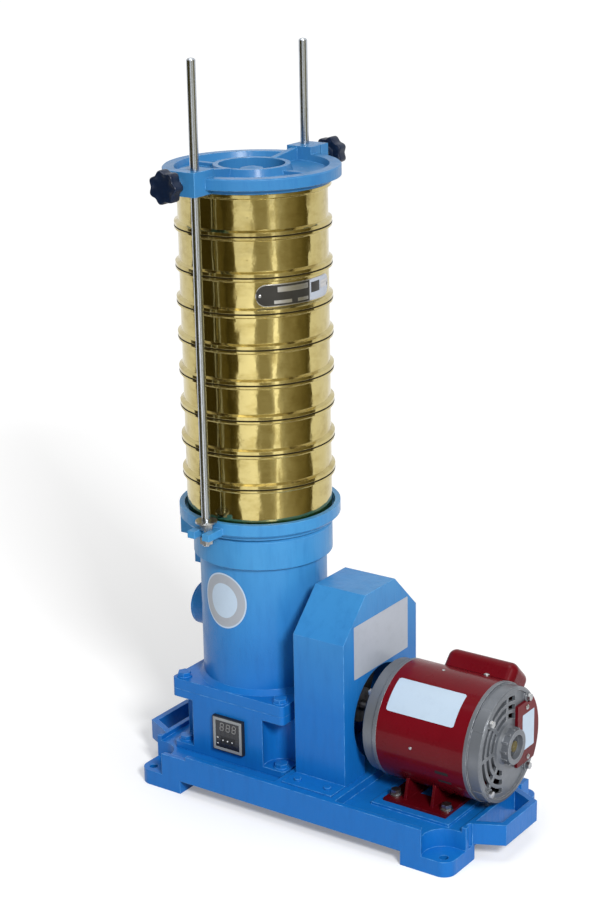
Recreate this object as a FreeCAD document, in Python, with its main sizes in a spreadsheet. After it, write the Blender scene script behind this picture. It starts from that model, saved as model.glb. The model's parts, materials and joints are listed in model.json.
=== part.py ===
# Sieve shaker: a column with an eccentric table, a clamped stack of brass sieves and a belt-driven motor.
# Millimetres. X runs along the base towards the motor, Y to the back, Z up.
# The origin is the centre of the four foot holes, on the floor.
import FreeCAD
import Part
import math
import os
import re

import Sketcher

doc = FreeCAD.newDocument("sieve_shaker")

# Driving dimensions

SIZES = {
    # base casting
    "base_length": 520,
    "base_width": 246,
    "base_middle_y": -15,
    "base_underside": 20,
    "rim_height": 60.5,
    "rim_wall": 7,
    "end_wall_height": 55,
    "rim_stop_left": 86,
    "rim_stop_right": 41,
    "end_notch_radius": 5,
    "end_notch_spacing": 134,
    "deck_height": 48,
    "deck_thickness": 10,
    "base_wall": 9,
    "foot_length": 75,
    "foot_width": 67,
    "foot_height": 22,
    "foot_corner": 18,
    "foot_hole_inset_long": 16,
    "foot_hole_inset_short": 14.5,
    "foot_hole_radius": 6.25,
    "front_pocket_radius": 30,
    "back_pocket_radius": 17,
    "foot_pocket_wall": 5,
    "base_rib": 8,
    "handle_reach": 40,
    "handle_root": 124,
    "handle_grip": 84,
    "handle_bar": 9,
    "handle_bottom": 25,
    "motor_pad_height": 4,
    "motor_pad_margin": 12,
    "bridge_margin": 10,
    # lower housing and column
    "spindle_x": -128.5,
    "flange_width": 194,
    "flange_corner": 6,
    "lower_flange": 10,
    "upper_flange": 12,
    "housing_height": 93,
    "housing_wall": 9,
    "corner_recess": 26,
    "flange_bolt_pitch": 168,
    "column_flange": 16,
    "column_radius": 89.6,
    "column_wall": 9,
    "column_root": 7,
    "column_height": 247,
    "collar_radius": 98,
    "collar_height": 42,
    "collar_chamfer": 4,
    "collar_groove": 3,
    "column_mouth_radius": 60,
    "side_boss_radius": 32,
    "side_boss_reach": 106,
    "side_cap_thickness": 5,
    # drive
    "drive_height": 238,
    "shaft_radius": 10,
    "shaft_bearing_radius": 21,
    "shaft_bearing_width": 12,
    "pinion_teeth": 16,
    "gear_teeth": 32,
    "tooth_module": 2.75,
    "tooth_face": 14,
    "tooth_share": 0.39,
    "tooth_rise": 2.2,
    "tooth_depth": 3.3,
    "gear_rim": 7,
    "gear_hub_radius": 24,
    "gear_hub_length": 10,
    "spindle_radius": 17.5,
    "spindle_nose_radius": 15,
    "spindle_bottom": 254,
    "spindle_shoulder": 284,
    "spindle_bearing_radius": 36,
    "spindle_bearing_width": 17,
    "lower_bearing_z": 289,
    "upper_bearing_z": 346,
    "throw": 4,
    "journal_radius": 12.5,
    "journal_length": 23.5,
    "table_bearing_radius": 26,
    "table_bearing_width": 15,
    "counterweight_radius": 62,
    "counterweight_height": 16,
    "counterweight_z": 318,
    "running_gap": 0.05,
    "seat_gap": 0.3,
    # belt drive
    "pulley_x": 24,
    "pulley_width": 24,
    "driven_pulley_radius": 62,
    "motor_pulley_radius": 25,
    "groove_depth": 12,
    "groove_top_width": 13.5,
    "groove_bottom_width": 8.5,
    "belt_top_width": 12.5,
    "belt_depth": 8,
    "belt_sink": 0.5,
    "pulley_web": 8,
    "pulley_hub_radius": 18,
    # belt guard
    "guard_x": -14.5,
    "guard_depth": 82,
    "guard_width": 184,
    "guard_height": 264,
    "guard_top_width": 74,
    "guard_shoulder": 209,
    "guard_sheet": 2,
    "guard_flange": 34,
    "guard_flange_sheet": 2,
    "guard_motor_opening": 68,
    "guard_motor_slot": 42,
    "guard_shaft_opening": 38,
    # motor
    "motor_x": 111.5,
    "motor_axis_height": 141,
    "motor_radius": 82.5,
    "motor_shell_length": 135,
    "motor_shell_wall": 2,
    "bell_length": 24,
    "bell_face_recess": 3,
    "bell_step": 3,
    "bell_rim": 5.5,
    "bell_wall": 5,
    "bell_hub_radius": 24,
    "bell_hub_reach": 12,
    "bell_hub_root": 4,
    "bell_flutes": 12,
    "bell_flute_width": 3,
    "bell_flute_rise": 1.6,
    "bell_flute_root": 2,
    "bell_flute_length": 8,
    "bell_cap_radius": 17,
    "bell_cap_depth": 8,
    "bolt_pad_radius": 7,
    "vent_inner_radius": 36,
    "vent_ring_pitch": 12,
    "vent_rings": 3,
    "vent_slot": 7,
    "vent_rib": 5,
    "motor_shaft_radius": 8,
    "motor_bearing_radius": 20,
    "motor_bearing_width": 12,
    "stator_inner_radius": 55,
    "rotor_gap": 1,
    "core_length": 84,
    "motor_foot_length": 98,
    "motor_foot_shift": 8,
    "motor_foot_width": 160,
    "motor_foot_thickness": 4,
    "motor_foot_window": 84,
    "motor_bolt_pitch_long": 80,
    "motor_bolt_pitch_wide": 124,
    "cradle_thickness": 4,
    "capacitor_length": 108,
    "capacitor_width": 52,
    "capacitor_reach": 108,
    "capacitor_radius": 11,
    "cover_sheet": 1.5,
    "cover_corner": 12,
    "cover_shift": 18,
    "terminal_cover_y": 21,
    "terminal_cover_top": 47,
    "terminal_cover_bottom": 43,
    "terminal_cover_sheet": 1.5,
    "bell_closed_y": 12,
    "bell_closed_drop": 25,
    # sieve table
    "table_radius": 113,
    "table_rim_inner": 105.5,
    "table_rim_height": 18.5,
    "table_floor": 8.5,
    "table_gap": 8.5,
    "table_skirt_radius": 104,
    "table_skirt_width": 6,
    "table_skirt_drop": 6,
    "table_hub_radius": 36,
    "table_hub_length": 21,
    "lug_width": 36,
    "lug_reach": 143,
    "lug_thickness": 10,
    "lug_slot_gap": 0.4,
    "arm_width": 40,
    "arm_inner": 105,
    "arm_outer": 128,
    "arm_top": 380,
    "arm_height": 33,
    "arm_slot_gap": 0.8,
    "tongue_width": 12,
    "tongue_outer": 112,
    "tongue_inner": 101,
    "tongue_top": 366,
    "bracket_bottom": 304,
    "bracket_top": 328,
    "bracket_width": 30,
    # rods and clamp
    "rod_circle_radius": 124,
    "rod_radius": 6,
    "rod_bottom": 384,
    "rod_top": 1041,
    "rod_dome": 3,
    "nut_width": 17,
    "nut_height": 10,
    "rod_washer_radius": 15,
    "rod_washer_height": 2.5,
    "ring_radius": 120,
    "ring_height": 17,
    "ring_rim_width": 16,
    "ring_web": 6,
    "ring_hub_radius": 52,
    "ring_bore_radius": 45,
    "ring_hub_height": 18,
    "ring_rib": 8,
    "ring_rib_height": 13,
    "block_long_side": 27,
    "block_short_side": 13,
    "block_outer": 142,
    "block_inner": 100,
    "block_drop": 5,
    "block_rise": 10,
    "block_slit": 2,
    "clamp_screw_offset": 16,
    "clamp_screw_radius": 4,
    "clamp_screw_end": 107,
    "clamp_nut_width": 15,
    "clamp_nut_height": 6,
    "knob_hub_radius": 8,
    "knob_hub_length": 7,
    "knob_radius": 16.5,
    "knob_lobe_radius": 6.2,
    "knob_lobes": 7,
    "knob_thickness": 17,
    # sieve stack
    "sieve_radius": 101.5,
    "sieve_wall": 0.9,
    "bead_radius": 106.4,
    "bead_height": 4.5,
    "bead_slope": 2.5,
    "nest_depth": 7,
    "nest_gap": 0.4,
    "cloth_height": 1.5,
    "cloth_thickness": 0.8,
    "receiver_height": 59,
    "receiver_foot": 4,
    "short_sieve_pitch": 48.6,
    "tall_sieve_pitch": 54.7,
    "short_sieves": 6,
    "tall_sieves": 2,
    "lid_height": 5.2,
    "lid_sheet": 1,
    "lid_dish": 3,
    "lid_knob_radius": 19,
    "lid_knob_height": 20,
    # panel timer
    "timer_x": -124,
    "timer_height": 93,
    "timer_width": 52,
    "timer_bezel_depth": 6,
    "timer_frame": 5,
    "timer_face_recess": 1,
    "timer_window_sheet": 2,
    "timer_window_width": 36,
    "timer_case_width": 44,
    "timer_case_depth": 70,
    "timer_window_height": 22,
    "key_width": 6,
    "key_height": 5,
    "key_pitch": 8,
    "key_drop": 9,
    "key_travel": 0.5,
    "key_proud": 1.2,
    # fasteners
    "flange_bolt_radius": 5,
    "flange_bolt_head": 17,
    "flange_bolt_head_height": 7,
    "guard_screw_radius": 5,
    "guard_screw_height": 3,
    "motor_bolt_radius": 4,
    "motor_bolt_head": 13,
    "motor_bolt_head_height": 6,
    "motor_washer_radius": 9,
    "motor_washer_height": 2,
    "through_bolt_radius": 2.5,
    "through_bolt_circle": 72,
    "through_bolt_head": 9,
    "through_bolt_head_height": 5,
    "through_bolt_nut_height": 4,
    "through_bolt_tip": 2,
}

sheet = doc.addObject("Spreadsheet::Sheet", "size")
for row, (alias, number) in enumerate(SIZES.items(), start=1):
    sheet.set(f"A{row}", alias)
    sheet.set(f"B{row}", str(number))
    sheet.setAlias(f"B{row}", alias)
doc.recompute()


# Tools for bound sizes

def bound(formula):
    """A formula over the sheet's aliases, as the document's expression language writes it."""
    def bound_word(word):
        return "size." + word.group() if word.group() in SIZES else word.group()

    return re.sub(r"[a-z_]+", bound_word, formula)


def value(formula):
    """The number that a formula over the sheet's aliases gives."""
    return float(sheet.evalExpression(bound(formula)))


def place(thing, x="0", y="0", z="0", turn=None):
    """Put an object at a bound place, turned by an axis and an angle."""
    if turn is not None:
        axis, angle = turn
        thing.Placement = FreeCAD.Placement(FreeCAD.Vector(), FreeCAD.Rotation(FreeCAD.Vector(*axis), angle))
    for name, formula in (("x", x), ("y", y), ("z", z)):
        thing.setExpression("Placement.Base." + name, bound(formula))
    return thing


UP = None
ALONG_X = ((0, 1, 0), 90)
AGAINST_X = ((0, 1, 0), -90)


def box(name, length, width, height, x, y, z):
    """A box with its lowest corner at x, y, z."""
    thing = doc.addObject("Part::Box", name)
    for prop, formula in (("Length", length), ("Width", width), ("Height", height)):
        thing.setExpression(prop, bound(formula))
    return place(thing, x, y, z)


def block(name, length, width, height, x, y, z):
    """A box centred on x and y, standing on z."""
    return box(name, length, width, height, f"({x})-({length})/2", f"({y})-({width})/2", z)


def cylinder(name, radius, height, x, y, z, turn=UP):
    thing = doc.addObject("Part::Cylinder", name)
    thing.setExpression("Radius", bound(radius))
    thing.setExpression("Height", bound(height))
    return place(thing, x, y, z, turn)


def hexagon(name, width, height, x, y, z, turn=UP):
    """A hexagonal prism, given by its width across flats."""
    thing = doc.addObject("Part::Prism", name)
    thing.Polygon = 6
    thing.setExpression("Circumradius", bound(f"({width})/sqrt(3)"))
    thing.setExpression("Height", bound(height))
    return place(thing, x, y, z, turn)


def fuse(name, *pieces):
    thing = doc.addObject("Part::MultiFuse", name)
    thing.Shapes = list(pieces)
    thing.Refine = True
    return thing


def cut(name, base, *tools):
    thing = doc.addObject("Part::Cut", name)
    thing.Base = base
    thing.Tool = tools[0] if len(tools) == 1 else fuse(name + "_tools", *tools)
    thing.Refine = True
    return thing


def common(name, first, second):
    thing = doc.addObject("Part::Common", name)
    thing.Base = first
    thing.Tool = second
    return thing


def group(name, *pieces):
    """Separate solids that share one node."""
    thing = doc.addObject("Part::Compound", name)
    thing.Links = list(pieces)
    return thing


def outline(body, name, plane, points):
    """A closed outline of straight sides on one of the body's own planes, each corner bound to the sheet."""
    sketch = body.newObject("Sketcher::SketchObject", name)
    origin_plane = [feature for feature in body.Origin.OriginFeatures if feature.Role == plane][0]
    sketch.AttachmentSupport = [(origin_plane, "")]
    sketch.MapMode = "FlatFace"
    corners = [FreeCAD.Vector(value(across), value(up), 0) for across, up in points]
    for corner, following in zip(corners, corners[1:] + corners[:1]):
        sketch.addGeometry(Part.LineSegment(corner, following), False)
    for side in range(len(points)):
        sketch.addConstraint(Sketcher.Constraint("Coincident", side, 2, (side + 1) % len(points), 1))
    for side, (across, up) in enumerate(points):
        for kind, formula in (("DistanceX", across), ("DistanceY", up)):
            index = sketch.addConstraint(Sketcher.Constraint(kind, -1, 1, side, 1, value(formula)))
            sketch.setExpression(f"Constraints[{index}]", bound(formula))
    return sketch


def revolved(name, points, x="0", y="0", z="0", turn=UP):
    """A body turned about its own Z axis from points given as radius and height."""
    body = doc.addObject("PartDesign::Body", name)
    sketch = outline(body, name + "_profile", "XZ_Plane", points)
    turning = body.newObject("PartDesign::Revolution", name + "_turning")
    turning.Profile = sketch
    turning.ReferenceAxis = (sketch, ["V_Axis"])
    turning.Angle = 360
    sketch.Visibility = False
    return place(body, x, y, z, turn)


def padded(name, plane, points, length, x="0", y="0", z="0", reverse=False):
    """A body padded from an outline on one of its planes."""
    body = doc.addObject("PartDesign::Body", name)
    sketch = outline(body, name + "_outline", plane, points)
    pad = body.newObject("PartDesign::Pad", name + "_pad")
    pad.Profile = sketch
    pad.Reversed = reverse
    pad.setExpression("Length", bound(length))
    return place(body, x, y, z)


def rounded(name, base, radius, chosen):
    """Round the edges that a test picks out by their middle point and direction."""
    doc.recompute()
    thing = doc.addObject("Part::Fillet", name)
    thing.Base = base
    picked = []
    for index, edge in enumerate(base.Shape.Edges, start=1):
        middle = edge.valueAt((edge.FirstParameter + edge.LastParameter) / 2)
        if chosen(edge, middle):
            picked.append((index, value(radius), value(radius)))
    thing.Edges = picked
    return thing


def upright(edge):
    """Whether an edge is a straight line along Z."""
    box_of_edge = edge.BoundBox
    return box_of_edge.XLength + box_of_edge.YLength < 0.001 < box_of_edge.ZLength


def rounded_slab(name, length, width, height, radius, x, y, z):
    """A centred slab with its four upright edges rounded."""
    slab = block(name + "_slab", length, width, height, x, y, z)
    return rounded(name, slab, radius, lambda edge, middle: upright(edge))


nodes = {}


def node(name, thing):
    """Keep an object as a piece of the assembly under the name that a person would use."""
    thing.Label = name
    nodes[name] = thing
    return thing


CORNERS = [(1, 1), (-1, 1), (-1, -1), (1, -1)]

# Heights that follow from the driving dimensions

HOUSING_TOP = "(deck_height+housing_height)"
COLUMN_TOP = f"({HOUSING_TOP}+column_height)"
TABLE_X = "(spindle_x-throw)"
TABLE_BOTTOM = f"({COLUMN_TOP}+table_gap)"
TABLE_SEAT = f"({TABLE_BOTTOM}+table_floor)"
STACK_BOTTOM = f"({TABLE_SEAT}+seat_gap)"
GUARD_MIDDLE = "(guard_x+guard_depth/2)"
MOTOR_FOOT_SEAT = "(deck_height+motor_pad_height)"
MOTOR_MIDDLE = "(motor_x+motor_shell_length/2)"
MOTOR_FAR_END = "(motor_x+motor_shell_length)"
FOOT_MIDDLE = "(motor_x+motor_shell_length/2-motor_foot_shift)"
TIMER_FACE = "(-flange_width/2)"


# Base

def base_casting():
    half_x = "(base_length/2)"
    half_y = "(base_width/2)"
    hole_x = "(base_length/2-foot_hole_inset_long)"
    hole_y = "(base_width/2-foot_hole_inset_short)"
    middle_y = "base_middle_y"
    solids = [block("base_walls", "base_length", "base_width", "rim_height-base_underside",
                    "0", middle_y, "base_underside")]
    hollows = []
    deck_bottom = "(deck_height-deck_thickness)"
    bridge_start = "(guard_x-bridge_margin)"
    bridge_end = "(guard_x+guard_depth+bridge_margin)"
    for side, start, end in (("housing", f"-{half_x}+rim_wall", bridge_start),
                             ("motor", bridge_end, f"{half_x}-rim_wall")):
        hollows.append(box(side + "_recess", f"({end})-({start})", "base_width-2*rim_wall", "rim_height",
                           start, f"{middle_y}-{half_y}+rim_wall", "deck_height"))
    bay = "((base_length-2*base_wall-3*base_rib)/4)"
    for number in range(4):
        hollows.append(box(f"underside_bay_{number + 1}", bay, "base_width-2*base_wall", deck_bottom,
                           f"-{half_x}+base_wall+{number}*({bay}+base_rib)",
                           f"{middle_y}-{half_y}+base_wall", "0"))
    for end, start, length in (("left", f"-{half_x}-1", "rim_stop_left"),
                               ("right", f"{half_x}-rim_stop_right", "rim_stop_right")):
        hollows.append(box(end + "_rim_stop", length + "+1", "base_width+2", "rim_height", start,
                           f"{middle_y}-{half_y}-1", "end_wall_height"))
    hollowed = cut("base_shell", solids[0], *hollows)
    added = [hollowed, block("motor_pad", "motor_foot_length+2*motor_pad_margin",
                             "motor_foot_width+2*motor_pad_margin", "motor_pad_height+1", FOOT_MIDDLE, "0",
                             "deck_height-1")]
    removed = []
    for number, (side_x, side_y) in enumerate(CORNERS, start=1):
        x = f"{side_x}*{hole_x}"
        y = f"{middle_y}+{side_y}*{hole_y}"
        added.append(block(f"foot_{number}_block", "foot_length", "foot_width", "foot_height",
                           f"{side_x}*({half_x}-foot_length/2)",
                           f"{middle_y}+{side_y}*({half_y}-foot_width/2)", "0"))
        pocket = "front_pocket_radius" if side_y < 0 else "back_pocket_radius"
        added.append(cylinder(f"foot_{number}_pocket_wall", pocket + "+foot_pocket_wall",
                              "deck_height-foot_height+1", x, y, "foot_height-1"))
        removed.append(cylinder(f"foot_{number}_pocket", pocket, "rim_height", x, y, "foot_height"))
        removed.append(block(f"foot_{number}_mouth", f"2*{pocket}", f"2*{pocket}", "rim_height",
                             f"{side_x}*({hole_x}+{pocket})", y, "foot_height"))
        removed.append(cylinder(f"foot_{number}_hole", "foot_hole_radius", "3*foot_height", x, y,
                                "-foot_height"))
        removed.append(cylinder(f"end_notch_{number}", "end_notch_radius", "rim_height", f"{side_x}*{half_x}",
                                f"{middle_y}+{side_y}*end_notch_spacing/2", "foot_height"))
    bulk = fuse("base_bulk", *added)
    limits = block("base_limits", "base_length", "base_width", "2*rim_height", "0", middle_y, "0")
    plan_corners = rounded("base_plan", limits, "foot_corner", lambda edge, middle: upright(edge))
    trimmed = common("base_trimmed", bulk, plan_corners)
    pocketed = cut("base_pocketed", trimmed, *removed)
    extras = [pocketed]
    for number, side in enumerate((1, -1), start=1):
        extras.append(carrying_handle(number, side))
    return fuse("base_casting", *extras)


def carrying_handle(number, side):
    """A cast loop at one end of the base, open from top to bottom."""
    root = f"{side}*(base_length/2-1)"
    bar_out = f"{side}*(base_length/2+handle_reach)"
    bar_in = f"{side}*(base_length/2+handle_reach-handle_bar)"
    height = "end_wall_height-handle_bottom"
    outer = [(root, "-handle_root/2"), (bar_out, "-handle_grip/2"), (bar_out, "handle_grip/2"),
             (root, "handle_root/2")]
    inner_root = f"{side}*(base_length/2-2)"
    inner = [(inner_root, "-handle_root/2+handle_bar"), (bar_in, "-handle_grip/2+handle_bar*0.6"),
             (bar_in, "handle_grip/2-handle_bar*0.6"), (inner_root, "handle_root/2-handle_bar")]
    loop = padded(f"handle_{number}_loop", "XY_Plane", outer, height, y="base_middle_y", z="handle_bottom")
    opening = padded(f"handle_{number}_opening", "XY_Plane", inner, height + "+2", y="base_middle_y",
                     z="handle_bottom-1")
    return cut(f"handle_{number}", loop, opening)


# Lower housing and column

def lower_housing():
    """The square box casting: a pocket at each corner leaves a flange above and below for the bolts."""
    casting = rounded_slab("housing_casting", "flange_width", "flange_width", "housing_height",
                           "flange_corner", "spindle_x", "0", "deck_height")
    pocket_height = "(housing_height-lower_flange-upper_flange)"
    tools = []
    for number, (side_x, side_y) in enumerate(CORNERS, start=1):
        x = f"spindle_x+{side_x}*flange_bolt_pitch/2"
        y = f"{side_y}*flange_bolt_pitch/2"
        tools.append(cylinder(f"corner_pocket_{number}", "corner_recess", pocket_height, x, y,
                              "deck_height+lower_flange"))
    tools.append(cylinder("housing_cavity", "flange_width/2-housing_wall", "housing_height+2",
                          "spindle_x", "0", "deck_height-1"))
    tools.append(block("timer_cutout", "timer_case_width+2*seat_gap", "3*housing_wall",
                       "timer_case_width+2*seat_gap", "timer_x", TIMER_FACE,
                       "timer_height-timer_case_width/2-seat_gap"))
    tools += flange_holes("lower_flange_hole", "deck_height-1", "lower_flange+2")
    tools += flange_holes("upper_flange_hole", f"{HOUSING_TOP}-upper_flange-1", "upper_flange+2")
    return cut("lower_housing", casting, *tools)


def flange_bolts(name, seat, depth):
    """Four hexagon-headed bolts on the square flange pattern, standing on a seat."""
    bolts = []
    for number, (side_x, side_y) in enumerate(CORNERS, start=1):
        x = f"spindle_x+{side_x}*flange_bolt_pitch/2"
        y = f"{side_y}*flange_bolt_pitch/2"
        head = hexagon(f"{name}_{number}_head", "flange_bolt_head", "flange_bolt_head_height", x, y, seat)
        shank = cylinder(f"{name}_{number}_shank", "flange_bolt_radius", f"{depth}+0.5", x, y,
                         f"{seat}-({depth})")
        bolts.append(fuse(f"{name}_{number}", head, shank))
    return group(name, *bolts)


def flange_holes(name, bottom, height):
    """Tools for the four holes of the square flange pattern."""
    holes = []
    for number, (side_x, side_y) in enumerate(CORNERS, start=1):
        holes.append(cylinder(f"{name}_{number}", "flange_bolt_radius+running_gap", height,
                              f"spindle_x+{side_x}*flange_bolt_pitch/2",
                              f"{side_y}*flange_bolt_pitch/2", bottom))
    return holes


def column_casting():
    flange = rounded_slab("column_flange_slab", "flange_width", "flange_width", "column_flange",
                          "flange_corner", "spindle_x", "0", HOUSING_TOP)
    inner = "(column_radius-column_wall)"
    lower_seat = f"(lower_bearing_z-{HOUSING_TOP})"
    upper_seat = f"(upper_bearing_z-{HOUSING_TOP})"
    collar_bottom = "(column_height-collar_height)"
    bore = "spindle_bearing_radius+running_gap"
    profile = [
        (inner, "column_flange-1"),
        ("column_radius+column_root", "column_flange-1"),
        ("column_radius", "column_flange+column_root"),
        ("column_radius", f"{collar_bottom}-collar_chamfer"),
        ("collar_radius", collar_bottom),
        ("collar_radius", "column_height-collar_groove"),
        ("collar_radius-collar_groove", "column_height"),
        ("column_mouth_radius", "column_height"),
        ("column_mouth_radius", f"{upper_seat}+spindle_bearing_width"),
        (bore, f"{upper_seat}+spindle_bearing_width"),
        (bore, upper_seat),
        (f"{bore}-4", upper_seat),
        (f"{bore}-4", f"{upper_seat}-4"),
        (inner, f"{upper_seat}-4"),
        (inner, f"{lower_seat}+spindle_bearing_width"),
        (bore, f"{lower_seat}+spindle_bearing_width"),
        (bore, lower_seat),
        (f"{bore}-4", lower_seat),
        (f"{bore}-4", f"{lower_seat}-4"),
        (inner, f"{lower_seat}-4"),
    ]
    barrel = revolved("column_barrel", profile, "spindle_x", "0", HOUSING_TOP)
    reach = "side_boss_reach"
    left = cylinder("left_boss", "side_boss_radius", f"{reach}-{inner}+4", f"spindle_x-{reach}", "0",
                    "drive_height", ALONG_X)
    right = cylinder("right_boss", "side_boss_radius", f"{reach}-{inner}+4",
                     f"spindle_x+{inner}-4", "0", "drive_height", ALONG_X)
    body = fuse("column_body", flange, barrel, left, right)
    flange_bore = cylinder("column_flange_bore", inner, "column_flange+2", "spindle_x", "0",
                           f"{HOUSING_TOP}-1")
    shaft_way = cylinder("shaft_way", "shaft_bearing_radius-3", f"2*{reach}+4", f"spindle_x-{reach}-2", "0",
                         "drive_height", ALONG_X)
    seat_depth = "(shaft_bearing_width+1)"
    left_seat = cylinder("left_bearing_seat", "shaft_bearing_radius+running_gap", f"{seat_depth}+1",
                         f"spindle_x-{reach}-1", "0", "drive_height", ALONG_X)
    right_seat = cylinder("right_bearing_seat", "shaft_bearing_radius+running_gap", f"{seat_depth}+1",
                          f"spindle_x+{reach}-{seat_depth}", "0", "drive_height", ALONG_X)
    holes = flange_holes("column_flange_hole", f"{HOUSING_TOP}-1", "column_flange+2")
    return cut("column_casting", body, flange_bore, shaft_way, left_seat, right_seat, *holes)


def shaft_bearings():
    rings = []
    for name, x in (("left_shaft_bearing", "spindle_x-side_boss_reach+1"),
                    ("right_shaft_bearing", "spindle_x+side_boss_reach-shaft_bearing_width-1")):
        ring = cylinder(name + "_ring", "shaft_bearing_radius", "shaft_bearing_width", x, "0",
                        "drive_height", ALONG_X)
        bore = cylinder(name + "_bore", "shaft_radius+running_gap", "shaft_bearing_width+2", f"{x}-1", "0",
                        "drive_height", ALONG_X)
        rings.append(cut(name, ring, bore))
    return group("input_shaft_bearings", *rings)


def spindle_bearings():
    profile = [("spindle_radius+running_gap", "0"), ("spindle_bearing_radius", "0"),
               ("spindle_bearing_radius", "spindle_bearing_width"),
               ("spindle_radius+running_gap", "spindle_bearing_width")]
    lower = revolved("lower_spindle_bearing", profile, "spindle_x", "0", "lower_bearing_z")
    upper = revolved("upper_spindle_bearing", profile, "spindle_x", "0", "upper_bearing_z")
    return group("spindle_bearings", lower, upper)


def left_bearing_cap():
    """The blind cap over the far end of the input shaft, with a turned rim."""
    profile = [("0", "0"), ("side_boss_radius", "0"), ("side_boss_radius", "side_cap_thickness-1.5"),
               ("side_boss_radius-1.5", "side_cap_thickness"), ("shaft_bearing_radius", "side_cap_thickness"),
               ("shaft_bearing_radius-3", "side_cap_thickness-1.5"), ("0", "side_cap_thickness-1.5")]
    return revolved("left_bearing_cap", profile, "spindle_x-side_boss_reach", "0", "drive_height",
                    AGAINST_X)


def anti_rotation_bracket():
    """A cast bracket on the column whose tongue stands in the slot of the table's arm."""
    foot = block("bracket_foot", "tongue_outer-column_radius+8", "bracket_width",
                 "bracket_top-bracket_bottom", "spindle_x-(tongue_outer+column_radius-8)/2", "0",
                 "bracket_bottom")
    tongue = box("bracket_tongue", "tongue_outer-tongue_inner", "tongue_width", "tongue_top-bracket_bottom",
                 "spindle_x-tongue_outer", "-tongue_width/2", "bracket_bottom")
    bracket = fuse("bracket_body", foot, tongue)
    seat = cylinder("bracket_seat", "column_radius+seat_gap", "2*bracket_top", "spindle_x", "0", "0")
    return cut("anti_rotation_bracket", bracket, seat)


# Drive

def bevel_gear(name, teeth, mating_teeth, phase):
    """A straight bevel gear on its own Z axis, with its cones' shared tip at the origin."""
    module = value("tooth_module")
    pitch_radius = module * teeth / 2
    pitch_angle = math.atan2(teeth, mating_teeth)
    cone_length = pitch_radius / math.sin(pitch_angle)
    inner_share = 1 - value("tooth_face") / cone_length
    half_tooth = math.pi * module * value("tooth_share") / 2
    slope = math.tan(math.radians(20))
    rise = value("tooth_rise")
    depth = value("tooth_depth")

    def at(normal, across):
        """A point of the tooth's big end: normal to the pitch cone, and across the tooth."""
        radius = pitch_radius + normal * math.cos(pitch_angle)
        height = cone_length * math.cos(pitch_angle) - normal * math.sin(pitch_angle)
        return FreeCAD.Vector(radius, across, height)

    sunk = depth + 0.4
    corners = [at(-sunk, -half_tooth - sunk * slope), at(rise, -half_tooth + rise * slope),
               at(rise, half_tooth - rise * slope), at(-sunk, half_tooth + sunk * slope)]
    small_corners = [corner * inner_share for corner in corners]
    big_end = Part.makePolygon(corners + corners[:1])
    small_end = Part.makePolygon(small_corners + small_corners[:1])
    tooth = Part.makeLoft([small_end, big_end], True, True)
    root = at(-depth, 0)
    small_root = root * inner_share
    return tooth, root, small_root, phase


def gear_solid(teeth_data, teeth, back_points):
    """Turn the root cone with the hub behind it, and set the teeth round it."""
    tooth, root, small_root, phase = teeth_data
    points = [(small_root.x, small_root.z), (root.x, root.z)] + back_points
    wire = Part.makePolygon([FreeCAD.Vector(radius, 0, height) for radius, height in points + points[:1]])
    blank = Part.Face(wire).revolve(FreeCAD.Vector(), FreeCAD.Vector(0, 0, 1), 360)
    copies = []
    for number in range(teeth):
        copy = tooth.copy()
        copy.rotate(FreeCAD.Vector(), FreeCAD.Vector(0, 0, 1), phase + number * 360 / teeth)
        copies.append(copy)
    return blank.multiFuse(copies).removeSplitter()


def driven_bevel_gear():
    teeth = int(value("gear_teeth"))
    data = bevel_gear("bevel_gear", teeth, value("pinion_teeth"), 0)
    root = data[1]
    small_root = data[2]
    back = root.z + value("gear_rim")
    hub_top = back + value("gear_hub_length")
    bore = value("spindle_nose_radius+running_gap")
    hub = value("gear_hub_radius")
    rim = [(root.x, back), (hub, back), (hub, hub_top), (bore, hub_top), (bore, small_root.z)]
    thing = doc.addObject("Part::Feature", "bevel_gear")
    thing.Shape = gear_solid(data, teeth, rim)
    return place(thing, "spindle_x", "0", "drive_height")


def bevel_pinion():
    teeth = int(value("pinion_teeth"))
    data = bevel_gear("bevel_pinion", teeth, value("gear_teeth"), 180 / teeth)
    root = data[1]
    small_root = data[2]
    bore = value("shaft_radius+running_gap")
    back = root.z + value("gear_rim")
    rim = [(root.x, back), (bore, back), (bore, small_root.z)]
    thing = doc.addObject("Part::Feature", "bevel_pinion")
    thing.Shape = gear_solid(data, teeth, rim)
    return place(thing, "spindle_x", "0", "drive_height", ALONG_X)


def input_shaft():
    start = "(spindle_x-side_boss_reach+0.5)"
    end = "(pulley_x+pulley_width/2+3)"
    return cylinder("input_shaft", "shaft_radius", f"{end}-{start}", start, "0", "drive_height", ALONG_X)


def vee_pulley(name, radius, bore, x, z):
    """A single-groove pulley: a rim on a thin web and a hub, or a solid one where it is small."""
    half = "(pulley_width/2)"
    groove = f"({radius}-groove_depth)"
    inner = f"({groove}-5)"
    solid = value(inner) < value("pulley_hub_radius") + 4
    outer = [
        (f"{bore}+running_gap", f"-{half}"), (radius, f"-{half}"), (radius, "-groove_top_width/2"),
        (groove, "-groove_bottom_width/2"), (groove, "groove_bottom_width/2"), (radius, "groove_top_width/2"),
        (radius, half), (f"{bore}+running_gap", half),
    ]
    if not solid:
        front = [("pulley_hub_radius", half), ("pulley_hub_radius", "pulley_web/2"), (inner, "pulley_web/2"),
                 (inner, half)]
        back = [(inner, f"-{half}"), (inner, "-pulley_web/2"), ("pulley_hub_radius", "-pulley_web/2"),
                ("pulley_hub_radius", f"-{half}")]
        outer = outer[:1] + back[::-1] + outer[1:7] + front[::-1] + outer[7:]
    return revolved(name, outer, x, "0", z, ALONG_X)


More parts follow.
